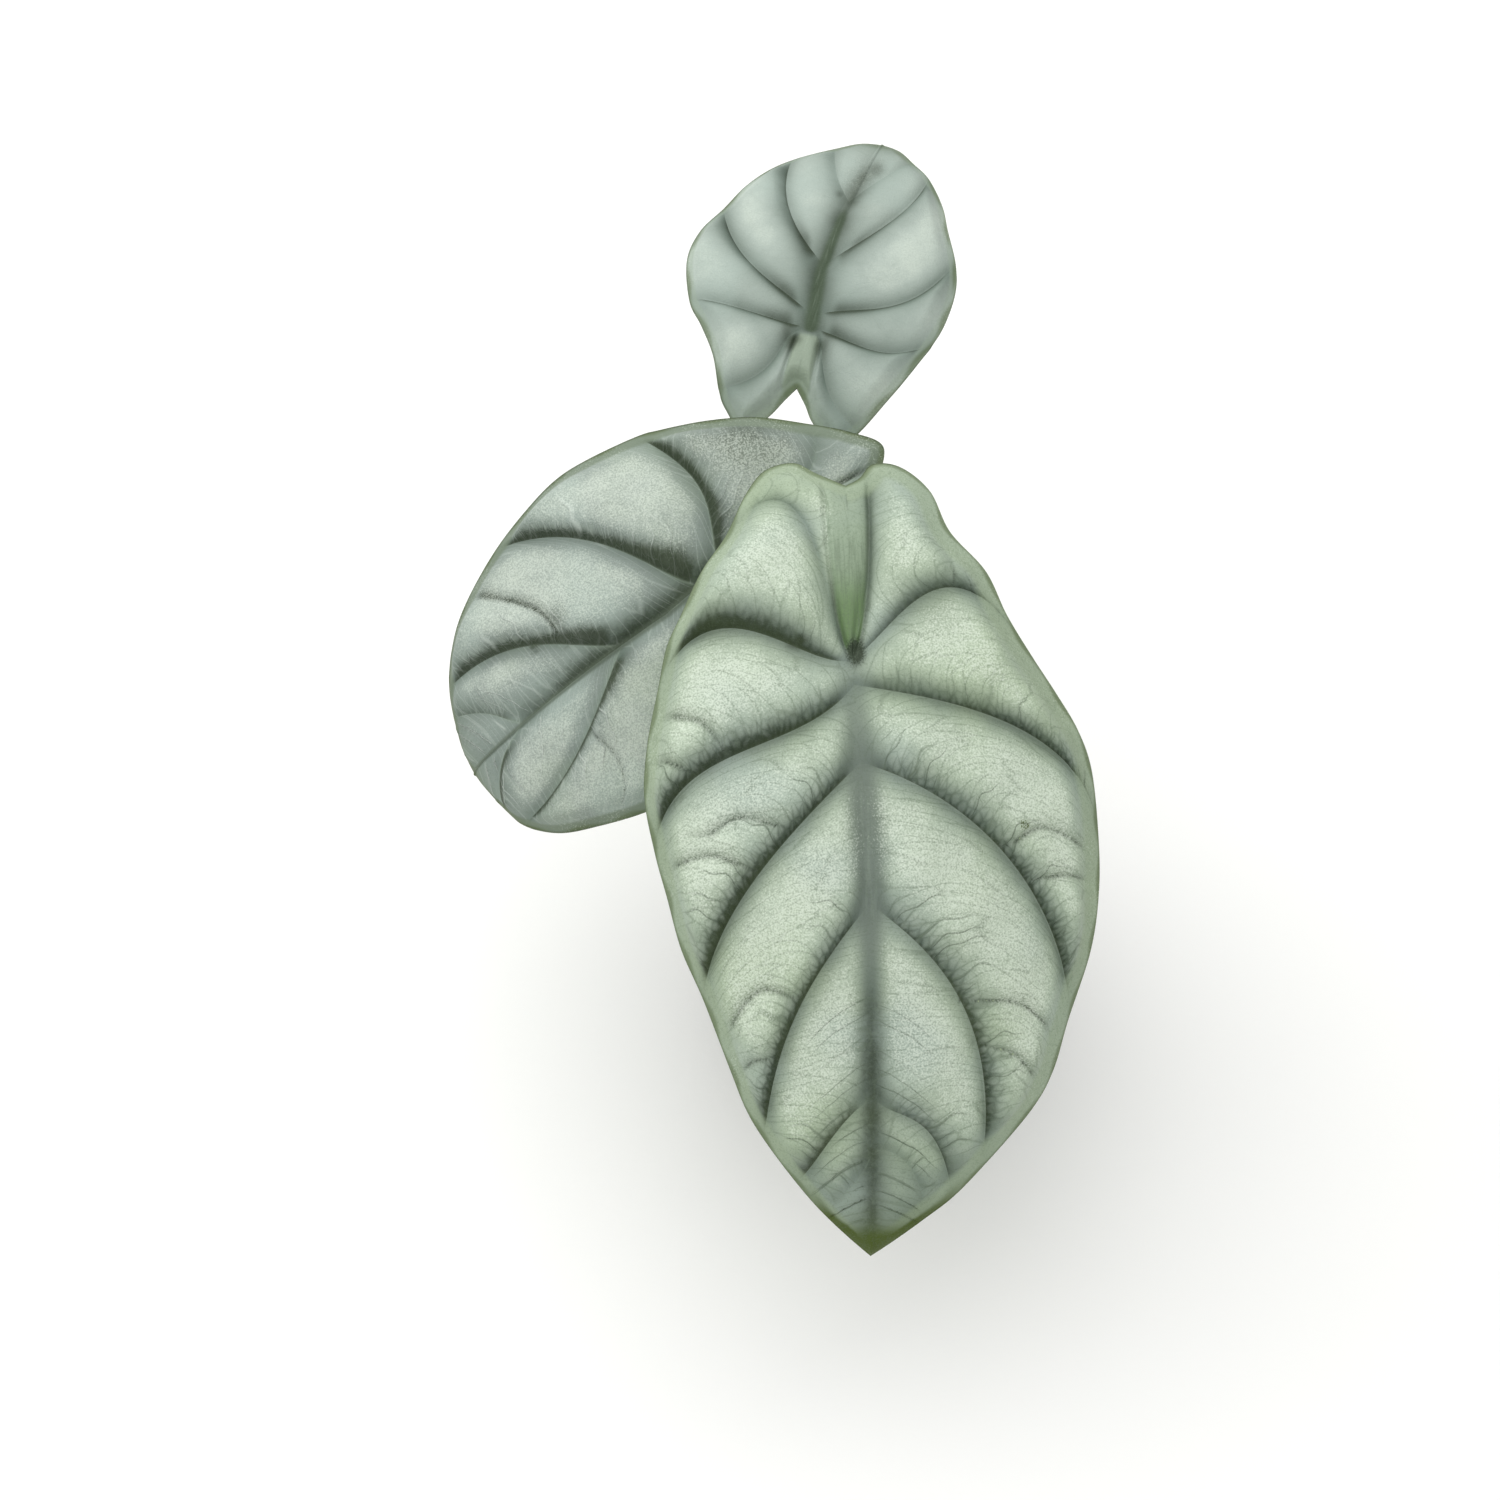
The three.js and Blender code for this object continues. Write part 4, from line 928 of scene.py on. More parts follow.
def leaf_finish(name, leaf, crest_colour, settings):
    """Living leaf with a waxy, silvered cuticle: matt, finely sparkling, green in its grooves.

    The grooves and walls also take painted shade, and the crests and puffs painted highlights.
    """
    material, tree, at = new_material(name)
    value = {key: add(tree, "ShaderNodeAttribute", output="Fac", attribute_name=key)
             for key in ("crest", "shade", "cord", "wall_run", "wall_off", "wall_gain",
                         "fold_phase", "fold_gain", "rib_phase", "rib_gain", "strip", "rim",
                         "tip", "channel", "fresh", "hub", "rubbed", "pattern_x", "pattern_y",
                         "under", "under_vein")}

    # Wax scales of about 0.36 mm, crinkles of 1 mm, clouds of 6 mm and patches of 24 mm
    grain, crinkle, cloud, patch = (
        add(tree, "ShaderNodeTexNoise", {"Vector": at, "Scale": 1 / (size * MM), **more}, "Fac")
        for size, more in (
            (0.36, {"Detail": 2}), (1, {"Detail": 3, "Roughness": 0.65, "Distortion": 0.8}),
            (6, {"Detail": 4, "Roughness": 0.6}), (24, {"Detail": 1.5})))
    # Streaks along the midrib, 0.6 mm wide and 9 mm long
    pressed = add(tree, "ShaderNodeCombineXYZ", {"X": value["pattern_x"], "Y": value["pattern_y"]})
    stretched = add(tree, "ShaderNodeMapping", {"Vector": pressed, "Scale": (1 / 0.6, 1 / 9, 1)})
    streak = add(tree, "ShaderNodeTexNoise", {
        "Vector": stretched, "Scale": 1, "Detail": 3, "Roughness": 0.6}, "Fac")
    # Millimetres along and away from the vein below a wall, swayed a little. Wrinkles part
    # tiles of 1.5 mm by 3.2 mm there, and a net of veinlets has meshes of 3.4 mm by 16 mm.
    sway = add(tree, "ShaderNodeTexNoise", {
        "Vector": at, "Scale": 1 / (5 * MM), "Detail": 2, "Roughness": 0.4}, "Color")
    wall_at = add(tree, "ShaderNodeCombineXYZ", {"X": value["wall_run"], "Y": value["wall_off"]})
    wall_at = add(tree, "ShaderNodeVectorMath", {0: sway, 1: (1.4, 2, 0), 2: wall_at},
                  operation="MULTIPLY_ADD")
    crackle, net = (
        add(tree, "ShaderNodeTexVoronoi", {
            "Scale": 1, "Vector": add(tree, "ShaderNodeMapping", {
                "Vector": wall_at, "Scale": (1 / wide, 1 / long, 1)})},
            "Distance", feature="DISTANCE_TO_EDGE", voronoi_dimensions="2D")
        for wide, long in ((1.5, 3.2), (3.4, 16)))

    # Sunken lines lie at the whole numbers of a phase, and folds of skin swell between them
    fold_off, rib_off = (
        add(tree, "ShaderNodeMath", {0: value[key], 1: 0.5}, operation="PINGPONG")
        for key in ("fold_phase", "rib_phase"))
    # On a leaf with sunken wrinkles the seams and lines get painted shade in their creases, on one
    # with raised ones pale veins; the tiles and puffs between them get painted highlights
    seam, tile, fold, puff, rib = (
        add(tree, "ShaderNodeMath", {
            0: add(tree, "ShaderNodeMapRange", {
                "Value": source, "From Min": start, "From Max": stop},
                interpolation_type="SMOOTHSTEP"),
            1: value[gain]}, operation="MULTIPLY")
        for source, start, stop, gain in (
            (crackle, 0.1, 0, "wall_gain"), (crackle, 0, 0.35, "wall_gain"),
            (fold_off, 0.08, 0, "fold_gain"), (fold_off, 0.05, 0.5, "fold_gain"),
            (rib_off, 0.07, 0, "rib_gain")))
    line = add(tree, "ShaderNodeMath", {0: fold, 1: rib}, operation="MAXIMUM")

    crest, shade, rough_hub = (
        add(tree, "ShaderNodeMath", {0: source, 1: share, 2: value[key]},
            operation="MULTIPLY_ADD")
        for source, share, key in (
            (cloud, 0.5, "crest"), (cloud, 0.4, "shade"), (grain, 0.7, "hub")))
    # Painted highlights on the tiles and puffs lighten the painted shade of the walls, and
    # crinkles mottle it
    crinkled = 0.5 * leaf["wrinkle"]
    for source, share, start in (
            (tile, -0.12, 1), (puff, -0.08, 1), (crinkle, crinkled, 1 - crinkled / 2)):
        spared = add(tree, "ShaderNodeMath", {0: source, 1: share, 2: start},
                     operation="MULTIPLY_ADD")
        shade = add(tree, "ShaderNodeMath", {0: shade, 1: spared}, operation="MULTIPLY")
    streaked, furrow, wax_and_highlight, olive, worn = (
        add(tree, "ShaderNodeMath", {0: one, 1: other}, operation="MULTIPLY")
        for one, other in (
            (streak, value["strip"]), (streak, value["channel"]), (grain, crest),
            (shade, patch), (grain, value["rubbed"])))
    thin, seam_colour = settings.pale_line, settings.pale_line
    if leaf["ridged"] > 0:
        thin, seam_colour = settings.line, settings.wall_green_and_shade
    cool, warm = leaf["tints"]
    channel_old, channel_fresh, channel_share = leaf["channel_colour"]
    top = layered(tree, settings.slope, [
        # Slopes to pale crests: silver skin, with painted light on the crests
        (crest_colour, crest, 0.15, 1.25, 1),
        # Painted highlight on the highest crests
        (settings.wax_and_highlight, crest, 0.9, 1.4, 0.34),
        (settings.cool, patch, 0.52, 0.3, cool),
        (settings.tint, patch, 0.5, 0.74, warm),
        (settings.tint, value["rim"], 4.5, 1.5, 0.2 * warm),
        # Painted shade over the dark green of the walls
        (settings.wall_green_and_shade, shade, 0.18, 1.1, 0.96),
        # Painted highlights on the wrinkle tiles and puffs
        (settings.wax_and_highlight, tile, 0.2, 1, 0.07),
        (settings.wax_and_highlight, puff, 0.2, 1, 0.08),
        # Seams and lines: painted shade in sunken creases; pale veins where the wrinkles are
        # raised
        (seam_colour, seam, 0, 1, 0.22),
        (thin, line, 0, 1, 0.5),
        (thin, net, 0.07, 0, leaf["net"]),
        (leaf["strip_colour"], value["strip"], 0, 1, 0.85),
        (settings.cord_colour, streaked, 0.4, 0.72, 0.3),
        (channel_old, value["channel"], 0, 1, channel_share),
        (channel_fresh, value["fresh"], 0, 1, channel_share),
        (settings.line, furrow, 0.4, 0.6, warm),
        # Deepest painted shade at the foot of the walls
        (settings.wall_green_and_shade, shade, 0.5, 1.1, 0.7),
        ("#55632c", olive, 0.34, 0.66, 0.5 * warm),
        (leaf["band_colour"], value["rim"], 1.05, 0.7, leaf["band_share"]),
        (settings.cord_colour, value["cord"], 0, 1, 0.6),
        (settings.wall_green_and_shade, rough_hub, 0.55, 1.1, 1),
        (settings.tip, value["tip"], 0, 1, 1),
        (settings.wax_and_highlight, wax_and_highlight, 0.48, 0.8, leaf["grain"]),
        (settings.line, grain, 0.5, 0.3, 0.5 * leaf["grain"]),
        (settings.line, crinkle, 0.46, 0.3, 0.4 * leaf["grain"]),
        (settings.tip, worn, 0.42, 0.5, 0.9),
    ])
    under = layered(tree, settings.under, [
        (settings.under_vein, value["under_vein"], 0, 1, 1),
        (settings.under_vein, net, 0.06, 0, 0.5),
        (settings.under_vein, cloud, 0.3, 0.7, 0.35),
    ])
    colour = add(tree, "ShaderNodeMix", {MIX_FACTOR: value["under"], MIX_A: top, MIX_B: under},
                 MIX_RESULT, data_type="RGBA")
    relief = grain
    for source, share in ((line, -1.6), (tile, 0.6)):
        relief = add(tree, "ShaderNodeMath", {0: source, 1: share, 2: relief},
                     operation="MULTIPLY_ADD")
    rough = add(tree, "ShaderNodeMapRange", {
        "Value": cloud, "From Min": 0.3, "From Max": 0.7, "To Min": 0.55, "To Max": 0.68})
    finish_surface(tree, colour, rough, 1.4, relief, 0.1)
    return material


def stalk_finish(settings):
    """Fleshy stalk skin: smooth and slightly glossy, with fine lengthwise streaks and dots."""
    material, tree, at = new_material("fleshy_stalk_skin")
    along, around = (add(tree, "ShaderNodeAttribute", output="Fac", attribute_name=key)
                     for key in ("along", "around"))
    skin = add(tree, "ShaderNodeCombineXYZ", {"X": around, "Y": along})
    # Streaks: about 40 round the stalk and a few along it
    stretched = add(tree, "ShaderNodeMapping", {"Vector": skin, "Scale": (40, 3, 1)})
    streak = add(tree, "ShaderNodeTexNoise", {
        "Vector": stretched, "Scale": 1, "Detail": 3}, "Fac")
    dots = add(tree, "ShaderNodeTexVoronoi", {"Vector": at, "Scale": 1 / (1.3 * MM)})
    colour = layered(tree, settings.green, [
        (settings.pale, along, 0, 1, 1),
        ("#6f8a4c", streak, 0.45, 0.75, 0.55),
        ("#c8cfae", dots, 0.24, 0.12, 0.3),
        (settings.sheath, along, 0.16, 0.02, 0.6),
    ])
    finish_surface(tree, colour, 0.38, 1.45, streak, 0.08)
    return material


def sheath_finish(settings):
    """Papery leaf sheath: dry and dull, green at its foot, brown and torn-looking at its edge."""
    material, tree, at = new_material("dry_leaf_sheath")
    edge = add(tree, "ShaderNodeAttribute", output="Fac", attribute_name="edge")
    # Fibres of 0.7 mm, drawn out upwards, and stains of 6 mm
    drawn_out = add(tree, "ShaderNodeMapping", {"Vector": at, "Scale": (1, 1, 0.12)})
    fibre, stain = (
        add(tree, "ShaderNodeTexNoise", {
            "Vector": place, "Scale": 1 / (size * MM), "Detail": 3}, "Fac")
        for place, size in ((drawn_out, 0.7), (at, 6)))
    torn = add(tree, "ShaderNodeMath", {0: stain, 1: edge}, operation="ADD")
    colour = layered(tree, linear("#8a955a"), [
        (settings.sheath, torn, 0.5, 1.1, 1),
        ("#5a452c", fibre, 0.5, 0.75, 0.6),
        ("#4a3826", torn, 1.2, 1.6, 0.7),
    ])
    finish_surface(tree, colour, 0.7, 1.45, fibre, 0.25)
    return material


def bark_finish(settings):
    """Composted pine bark: dull, layered along each chip, from red-brown to grey."""
    material, tree, at = new_material("pine_bark_chips")
    tone = add(tree, "ShaderNodeAttribute", output="Fac", attribute_name="tone")
    # Layers of about 0.8 mm and lichen-like dust of 3 mm
    layer = add(tree, "ShaderNodeTexWave", {
        "Vector": at, "Scale": 1 / (1.6 * MM), "Distortion": 9, "Detail": 3,
        "Detail Scale": 1.5}, "Fac")
    dust = add(tree, "ShaderNodeTexNoise", {
        "Vector": at, "Scale": 1 / (3 * MM), "Detail": 5, "Roughness": 0.7}, "Fac")
    colour = layered(tree, settings.bark, [
        ("#8d6a4b", tone, 0.5, 1, 0.8),
        ("#3d2a1e", tone, 0.45, 0, 0.8),
        ("#33251b", layer, 0.55, 0.95, 0.5),
        ("#9a8f7f", dust, 0.56, 0.8, 0.45),
    ])
    finish_surface(tree, colour, 0.86, 1.5, layer, 0.25)
    return material


def crumbly_finish(name, base, crumb_size, spot_size, layers, roughness, relief):
    """Loose stuff with crumbs or pits, and damp or soiled spots. Sizes are in millimetres."""
    material, tree, at = new_material(name)
    crumb = add(tree, "ShaderNodeTexVoronoi", {"Vector": at, "Scale": 1 / (crumb_size * MM)})
    spot = add(tree, "ShaderNodeTexNoise", {
        "Vector": at, "Scale": 1 / (spot_size * MM), "Detail": 4}, "Fac")
    colour = layered(tree, base, [
        (colour, source, *shown) for source, (colour, *shown) in zip((crumb, spot), layers)])
    finish_surface(tree, colour, roughness, 1.5, crumb, relief)
    return material


def peat_finish(settings):
    """Fine peat and coir between the chips: dark, crumbly and quite dull."""
    return crumbly_finish("peat_and_coir", settings.peat, 1.1, 9, (
        ("#5b4633", 0.45, 0.1, 0.7), ("#1d1510", 0.45, 0.7, 0.6)), 0.95, -0.5)


def perlite_finish(settings):
    """Perlite, a volcanic glass popped by heat: chalk white, pitted, soiled in its pits."""
    return crumbly_finish("expanded_perlite", settings.perlite, 0.7, 4, (
        ("#a39a8a", 0.3, 0.05, 0.6), ("#8f7d68", 0.5, 0.75, 0.55)), 0.9, 0.25)


def pot_finish(settings):
    """Moulded polypropylene: charcoal, satin, with faint flow lines and dust from handling."""
    material, tree, at = new_material("moulded_polypropylene")
    # Pebbled mould texture of about 0.8 mm, dust patches of 14 mm, flow lines of 5 mm
    upright = add(tree, "ShaderNodeMapping", {"Vector": at, "Scale": (1, 1, 0.08)})
    pebble, dust, flow = (
        add(tree, "ShaderNodeTexNoise", {
            "Vector": place, "Scale": 1 / (size * MM), **more}, "Fac")
        for place, size, more in (
            (at, 0.8, {"Detail": 2}), (at, 14, {"Detail": 5, "Roughness": 0.65}),
            (upright, 5, {"Detail": 3})))
    height = add(tree, "ShaderNodeSeparateXYZ", {"Vector": at}, "Z")
    colour = layered(tree, settings.plastic, [
        ("#3a3c3e", pebble, 0.4, 0.7, 0.5),
        ("#44464a", flow, 0.5, 0.75, 0.35),
        ("#6d665c", dust, 0.5, 0.8, 0.35),
        ("#57493a", height, 7 * MM, 0, 0.35),
    ])
    rough = add(tree, "ShaderNodeMapRange", {
        "Value": dust, "From Min": 0.3, "From Max": 0.7, "To Min": 0.42, "To Max": 0.6})
    finish_surface(tree, colour, rough, 1.49, pebble, 0.12)
    return material


# Stalks, crown, pot and mix


def stalk_path(leaf, route, count):
    """Points and forward directions along a stalk, and its parameter from 0 to 1."""
    _, up, _ = blade_axes(leaf)
    joint = np.array(leaf["joint"], float)
    points = np.array([*route, joint - up * (JOINT_DEPTH + STALK_NECK), joint - up * JOINT_DEPTH])
    dense = spline_at(points, np.linspace(0, len(points) - 1, 8 * count))
    run = np.concatenate([[0], np.cumsum(np.linalg.norm(np.diff(dense, axis=0), axis=1))])
    share = np.linspace(0, 1, count)
    path = np.stack([np.interp(share * run[-1], run, dense[:, i]) for i in range(3)], axis=1)
    forward = np.gradient(path, axis=0)
    forward /= np.linalg.norm(forward, axis=1, keepdims=True)
    return path, forward, share


def crossways(forward):
    """Two directions across each forward direction."""
    across = np.cross(np.array([0, 1, 0.0]), forward)
    across /= np.linalg.norm(across, axis=1, keepdims=True)
    return across, np.cross(forward, across)


def full_turn(sides):
    """Angles of the points of a ring."""
    return 2 * np.pi * np.arange(sides) / sides


def round_points(radius, level, turn):
    """Points of rings round the upright axis, one ring for each radius and level."""
    return np.stack(np.broadcast_arrays(
        radius * np.cos(turn), radius * np.sin(turn), level), -1).reshape(-1, 3)


def ring_faces(rings, sides):
    """Quads between rings of points, and a cap on each end."""
    faces = [[i * sides + j, i * sides + (j + 1) % sides, (i + 1) * sides + (j + 1) % sides,
              (i + 1) * sides + j] for i in range(rings - 1) for j in range(sides)]
    return faces + [list(range(sides))[::-1], [(rings - 1) * sides + j for j in range(sides)]]


def shifted(faces, by):
    """The same faces on points that stand later in a list."""
    return [[corner + by for corner in face] for face in faces]


def place_piece(name, node, vertices, faces, material, data=None):
    """A piece of the plant that stands for one CAD node and takes its material slot."""
    piece = mesh_object(name, vertices, faces, material, data)
    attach(piece, BODY)
    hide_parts(node)
    return piece


class ALOCASIA_OT_leaves(Operator):
    """Build the three quilted leaf blades"""
    bl_idname = "alocasia.leaves"
    bl_label = "Leaves"

    def execute(self, context):
        settings = context.scene.alocasia_blades
        for place, leaf in LEAVES.items():
            vertices, faces, data = blade_mesh(leaf, settings)
            crest_colour = getattr(settings, f"{place}_crest")
            material = leaf_finish(f"waxy_leaf_{place}", leaf, crest_colour, settings)
            place_piece(f"leaf_{place}_blade", f"leaf_{place}", vertices,
                        faces, material, data)
        return {"FINISHED"}


class ALOCASIA_OT_stalks(Operator):
    """Build the three stalks, each swollen at its base and where it meets the blade"""
    bl_idname = "alocasia.stalks"
    bl_label = "Stalks"

    def execute(self, context):
        settings = context.scene.alocasia_stalks
        material = stalk_finish(settings)
        turn = full_turn(STALK_SIDES)
        for place, leaf in LEAVES.items():
            path, forward, share = stalk_path(leaf, STALK_ROUTES[place], STALK_RINGS)
            radius = settings.base_radius + (
                settings.top_radius - settings.base_radius) * np.sqrt(share)
            radius = radius * (1 + KNEE_SWELL * smooth(share, 0.9, 0.98))
            ribs = 1 + STALK_RIB_HEIGHT * np.cos(STALK_RIBS * turn) * (1 - share)[:, None]
            across, other = crossways(forward)
            rings = path[:, None] * MM + (radius[:, None] * ribs)[..., None] * (
                np.cos(turn)[:, None] * across[:, None] + np.sin(turn)[:, None] * other[:, None])
            faces = ring_faces(STALK_RINGS, STALK_SIDES)
            corner = np.concatenate(faces)
            data = {"along": (corner // STALK_SIDES) / (STALK_RINGS - 1),
                    "around": (corner % STALK_SIDES) / STALK_SIDES}
            place_piece(f"stalk_{place}_skin", f"stalk_{place}",
                        rings.reshape(-1, 3), faces, material, data)
        return {"FINISHED"}


class ALOCASIA_OT_crown(Operator):
    """Build the crown: a ringed stem foot and the sheaths that clasp the stalks"""
    bl_idname = "alocasia.crown"
    bl_label = "Crown"

    def execute(self, context):
        settings = context.scene.alocasia_stalks
        turn = full_turn(CROWN_SIDES)
        profile = spline_at(CROWN_PROFILE, np.linspace(0, len(CROWN_PROFILE) - 1, CROWN_RINGS))
        radius, level = profile[:, :1], profile[:, 1:]
        # Old leaf scars ring the stem, and three clasping sheaths lap over it
        scars = 0.22 * np.abs(np.sin(np.pi * level / SCAR_SPACING)) ** 3
        lap = ((turn / (2 * np.pi) * 3 + level * 0.02) % 1) ** 3
        fibres = 0.1 * np.cos(23 * turn)
        swell = radius * 0.94 + (0.6 * lap + fibres + scars) * smooth(radius, 1, 5)
        vertices = round_points(swell, level, turn)
        faces = ring_faces(CROWN_RINGS, CROWN_SIDES)
        edge = lap.ravel()
        for place, leaf in LEAVES.items():
            points, more, frayed = self.sheath(leaf, STALK_ROUTES[place])
            faces += shifted(more, len(vertices))
            vertices = np.concatenate([vertices, points])
            edge = np.concatenate([edge, frayed])
        place_piece("crown_sheaths", "crown", vertices * MM, faces,
                    sheath_finish(settings), {"edge": edge[np.concatenate(faces)]})
        return {"FINISHED"}

    def sheath(self, leaf, route):
        """A thin sheath open on one side, which wraps the foot of a stalk and leans off it."""
        rows, columns = 34, 40
        path, forward, share = stalk_path(leaf, route, STALK_RINGS)
        v = np.linspace(0, 1, rows)
        centre, ahead = (
            np.stack([np.interp(v * SHEATH_REACH, share, line[:, i]) for i in range(3)], 1)
            for line in (path, forward))
        across, other = crossways(ahead)
        outward = math.atan2(*(path[STALK_RINGS // 2] - path[0])[1::-1])
        side = np.cos(outward) * across + np.sin(outward) * other
        front = np.cross(ahead, side)
        v, w = v[:, None], np.linspace(-1, 1, columns)
        angle = np.pi * (0.93 - 0.62 * v ** 1.5) * w
        radius = SHEATH_RADIUS - v + 0.7 * w ** 4 * v + 0.12 * np.sin(9 * w + 14 * v) * w ** 2
        layers = [
            (centre[:, None] + (radius - depth)[..., None] * (
                np.cos(angle)[..., None] * side[:, None]
                + np.sin(angle)[..., None] * front[:, None])).reshape(-1, 3)
            for depth in (0, SHEATH_THICKNESS)]
        grid = np.arange(rows * columns).reshape(rows, columns)
        outer = np.stack([grid[:-1, :-1], grid[:-1, 1:], grid[1:, 1:], grid[1:, :-1]],
                         -1).reshape(-1, 4)
        inner = outer[:, ::-1] + grid.size
        border = [*grid[0], *grid[1:, -1], *grid[-1, -2::-1], *grid[-2:0:-1, 0]]
        rim = [[before, before + grid.size, here + grid.size, here]
               for before, here in zip(border[-1:] + border[:-1], border)]
        edge = np.clip(0.35 * v + np.abs(w) ** 3, 0, 1.2).ravel()
        return np.concatenate(layers), [*outer, *inner, *rim], np.tile(edge, 2)


class ALOCASIA_OT_pot(Operator):
    """Build the plain nursery pot with its rolled rim, foot ring and drainage holes"""
    bl_idname = "alocasia.pot"
    bl_label = "Pot"

    def execute(self, context):
        settings = context.scene.alocasia_pot
        outline = np.array(POT_OUTLINE, float)
        vertices = round_points(outline[:, :1], outline[:, 1:], full_turn(settings.segments))
        pot = place_piece("pot_shell", "pot", vertices * MM,
                          ring_faces(len(outline), settings.segments), pot_finish(settings))
        drills, holes = [], []
        for heading in full_turn(2 * DRAIN_HOLES)[1::2]:
            holes += shifted(ring_faces(2, DRAIN_SIDES), len(drills) * 2 * DRAIN_SIDES)
            centre = (DRAIN_CIRCLE * np.cos(heading), DRAIN_CIRCLE * np.sin(heading), 0)
            drills.append(centre + round_points(
                DRAIN_RADIUS, np.array([[-2], [4]]), full_turn(DRAIN_SIDES)))
        drill = mesh_object("drill", np.concatenate(drills) * MM, holes,
                            pot.data.materials[0])
        cut = pot.modifiers.new("drainage", "BOOLEAN")
        cut.object = drill
        cut.solver = "EXACT"
        rounded = pot.modifiers.new("rounded_edges", "BEVEL")
        rounded.width = POT_EDGE_RADIUS * MM
        rounded.segments = 3
        rounded.limit_method = "ANGLE"
        rounded.angle_limit = math.radians(28)
        even_light = pot.modifiers.new("even_light", "WEIGHTED_NORMAL")
        even_light.keep_sharp = True
        view = context.evaluated_depsgraph_get()
        finished = bpy.data.meshes.new_from_object(pot.evaluated_get(view))
        pot.modifiers.clear()
        pot.data = finished
        bpy.data.objects.remove(drill)
        return {"FINISHED"}


def mix_level(x, y):
    """Height of the fine mix at a place, in millimetres: hollows, lumps and a fine crumb."""
    return sum((height * noise.noise(Vector((x / size, y / size, layer)))
                for height, size, layer in MIX_LUMPS), MIX_LEVEL)


class ALOCASIA_OT_mix(Operator):
    """Fill the pot with bark mix: fine peat, bark chips and white perlite"""
    bl_idname = "alocasia.mix"
    bl_label = "Bark mix"

    def execute(self, context):
        settings = context.scene.alocasia_pot
        self.fine_mix(settings)
        random = np.random.default_rng(MIX_SEED)
        # Levels of the heap in cells of 1 mm, which each fallen piece raises
        cells = np.arange(-MIX_RADIUS, MIX_RADIUS + 1)
        heap = np.array([[mix_level(x, y) for y in cells] for x in cells])
        for name, finish, count, lengths, flatness, tilt, points in (
                ("mix_bark_chips", bark_finish, settings.chips, (3.4, 7.6), (0.62, 0.34), 26, 7),
                ("mix_perlite", perlite_finish, settings.grains, (1.1, 2.3), (0.9, 0.8), 80, 16)):
            self.scatter(name, finish(settings), random, heap, count, lengths, flatness, tilt,
                         points)
        return {"FINISHED"}

    def fine_mix(self, settings):
        """The fine mix: a rough top, and a plain side and bottom against the pot."""
        turn = full_turn(MIX_SIDES)
        radius = np.array([POT_BASE_INSIDE - POT_GAP, *np.linspace(
            MIX_RADIUS - POT_GAP, MIX_HOLE, MIX_RINGS)])[:, None]
        level = np.vectorize(mix_level)(radius * np.cos(turn), radius * np.sin(turn))
        level[0] = MIX_FLOOR
        place_piece("mix_fines", "soil", round_points(radius, level, turn) * MM,
                    ring_faces(*level.shape), peat_finish(settings))

    def scatter(self, name, material, random, heap, count, lengths, flatness, tilt, points):
        """Drops rough lumps on the heap one by one, the long ones first.

        flatness gives their width and thickness as shares of their length, and tilt the
        slope in degrees at which they may lie. Few points make an angular lump.
        """
        vertices, faces, tones, start = [], [], [], 0
        for length in np.sort(random.uniform(*lengths, count))[::-1]:
            heading = random.uniform(0, 2 * np.pi)
            low, high = CROWN_CLEAR + length / 2, MIX_RADIUS - 0.8 - length / 2
            away = math.sqrt(random.uniform(low ** 2, high ** 2))
            x, y = away * math.cos(heading), away * math.sin(heading)
            shell = bmesh.new()
            for _ in range(points + 6):
                direction = random.normal(size=3)
                direction /= np.linalg.norm(direction) ** (0.75 if points < 10 else 1)
                shell.verts.new(direction * random.uniform(0.85, 1) * np.array(
                    [1, *flatness]) * length / 2)
            hull = bmesh.ops.convex_hull(shell, input=shell.verts)
            bmesh.ops.delete(shell, geom=hull["geom_interior"], context="VERTS")
            bmesh.ops.bevel(shell, geom=shell.edges, offset=0.05 * length, segments=1,
                            affect="EDGES", clamp_overlap=True)
            turn = Vector((0, 0, 1)).rotation_difference(Vector((
                *random.uniform(-1, 1, 2) * math.tan(math.radians(tilt)) * 0.7, 1)))
            turn.rotate(Vector((1, 0, 0)).rotation_difference(Vector((
                math.cos(heading * 7), math.sin(heading * 7), 0))))
            shell.verts.index_update()
            body = np.array([turn @ vertex.co for vertex in shell.verts])
            spot = np.clip(np.round(body[:, :2] + (x, y)).astype(int) + MIX_RADIUS, 0,
                           len(heap) - 1)
            rest = np.percentile(heap[spot[:, 0], spot[:, 1]], 60)
            body = body + (x, y, rest - 0.45 * body[:, 2].min())
            np.maximum.at(heap, (spot[:, 0], spot[:, 1]), body[:, 2] * 0.5 + rest * 0.5)
            vertices.append(body)
            tone = random.uniform()
            for face in shell.faces:
                faces.append([start + vertex.index for vertex in face.verts])
                tones += [tone] * len(face.verts)
            start += len(body)
            shell.free()
        place_piece(name, "soil", np.concatenate(vertices) * MM, faces, material,
                    {"tone": np.array(tones)})


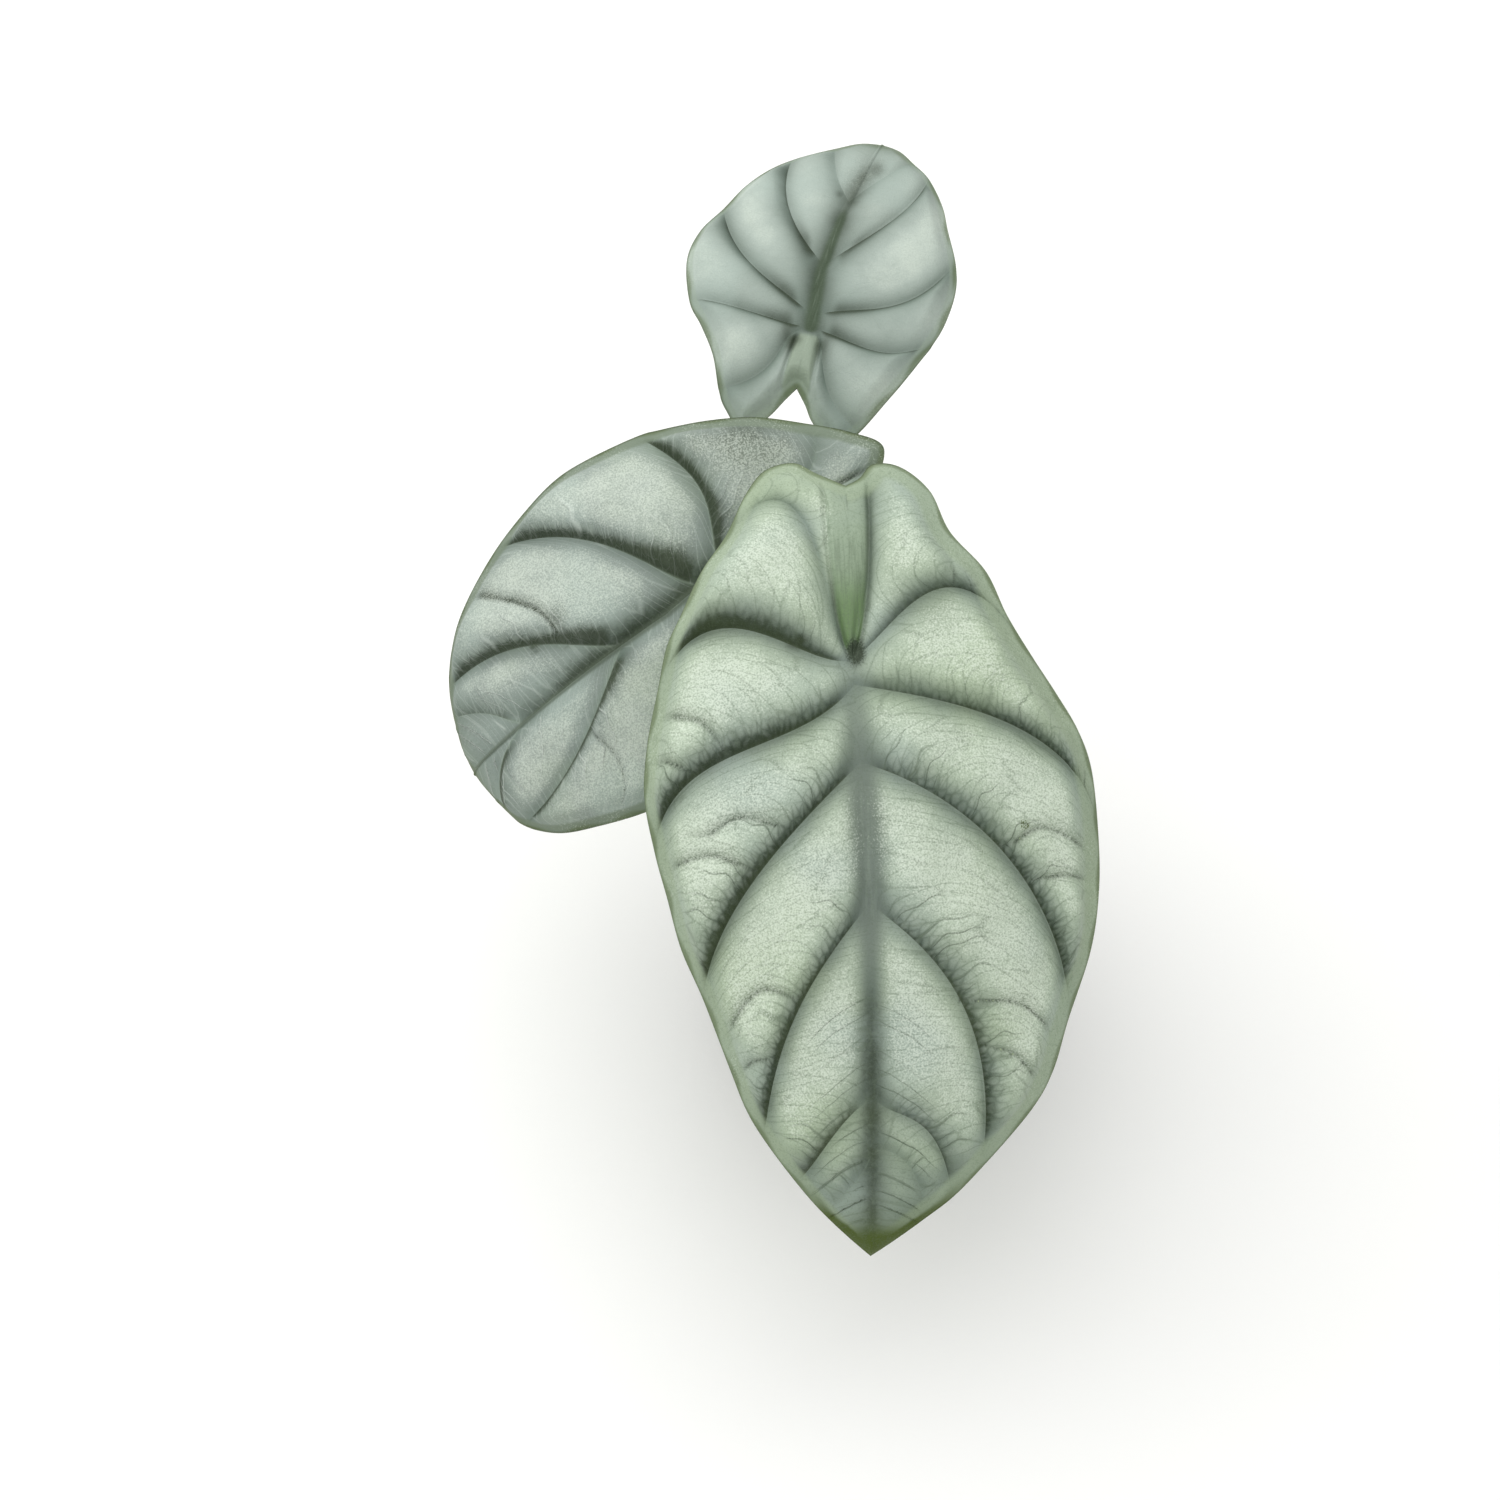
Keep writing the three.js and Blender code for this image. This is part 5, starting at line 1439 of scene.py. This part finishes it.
class ALOCASIA_OT_stage(Operator):
    """Build the floor, the lights and the camera"""
    bl_idname = "alocasia.stage"
    bl_label = "Stage"

    def execute(self, context):
        settings = context.scene.alocasia_stage
        scene = context.scene
        material, tree, at = new_material("matt_paper_floor")
        tooth = add(tree, "ShaderNodeTexNoise", {
            "Vector": at, "Scale": 1 / (2 * MM), "Detail": 2}, "Fac")
        finish_surface(tree, settings.floor, 0.9, 1.45, tooth, 0.05)
        floor = mesh_object("floor", FLOOR_CORNERS, [[0, 1, 2, 3]], material)

        scene.world = bpy.data.worlds.new("soft_room")
        scene.world.use_nodes = True
        sky = scene.world.node_tree.nodes["Background"].inputs
        sky["Color"].default_value = (1, 1, 1, 1)
        sky["Strength"].default_value = settings.sky
        for name, power, size, place, aim in (
                ("key_light", settings.key, 2, (-0.35, 0.34, 1), (0, -0.02, 0.13)),
                ("fill_light", settings.fill, 0.9, (0.1, -0.9, 0.7), (0, 0, 0.12))):
            light = bpy.data.lights.new(name, "AREA")
            light.energy = power
            light.size = size
            lamp = bpy.data.objects.new(name, light)
            lamp.location = place
            lamp.rotation_euler = (Vector(aim) - Vector(place)).to_track_quat(
                "-Z", "Y").to_euler()
            scene.collection.objects.link(lamp)

        lens = bpy.data.cameras.new("camera")
        lens.lens = CAMERA_LENS
        lens.sensor_width = CAMERA_FILM
        camera = bpy.data.objects.new("camera", lens)
        camera.location = CAMERA_PLACE
        camera.rotation_euler = (math.radians(CAMERA_TILT), 0, 0)
        scene.collection.objects.link(camera)
        scene.camera = camera
        scene.view_settings.view_transform = "Standard"
        return {"FINISHED"}


class ALOCASIA_PT_panel(Panel):
    """Lists the builders of the potted alocasia"""
    bl_idname = "ALOCASIA_PT_panel"
    bl_label = "Potted alocasia"
    bl_space_type = "VIEW_3D"
    bl_region_type = "UI"
    bl_category = "Alocasia"

    def draw(self, context):
        for operator in OPERATORS:
            self.layout.operator(operator.bl_idname)


OPERATORS = (ALOCASIA_OT_stage, ALOCASIA_OT_leaves, ALOCASIA_OT_stalks, ALOCASIA_OT_crown,
             ALOCASIA_OT_pot, ALOCASIA_OT_mix)
SETTINGS = {"alocasia_blades": BladeSettings, "alocasia_stalks": StalkSettings,
            "alocasia_pot": PotSettings, "alocasia_stage": StageSettings}


def register():
    """Registers the settings, the operators and the panel."""
    for kind in (*SETTINGS.values(), *OPERATORS, ALOCASIA_PT_panel):
        bpy.utils.register_class(kind)
    for name, group in SETTINGS.items():
        setattr(bpy.types.Scene, name, PointerProperty(type=group))


def unregister():
    """Takes away what register added, last first."""
    for name in SETTINGS:
        delattr(bpy.types.Scene, name)
    for kind in (ALOCASIA_PT_panel, *reversed(OPERATORS), *SETTINGS.values()):
        bpy.utils.unregister_class(kind)


def corners(box):
    """A box as plain lists of numbers."""
    return [[float(c) for c in corner] for corner in box]


def main():
    """Builds the plant and its stage."""
    register()
    bpy.ops.alocasia.stage()
    bpy.ops.alocasia.leaves()
    bpy.ops.alocasia.stalks()
    bpy.ops.alocasia.crown()
    bpy.ops.alocasia.pot()
    bpy.ops.alocasia.mix()


if __name__ == "__main__":
    main()
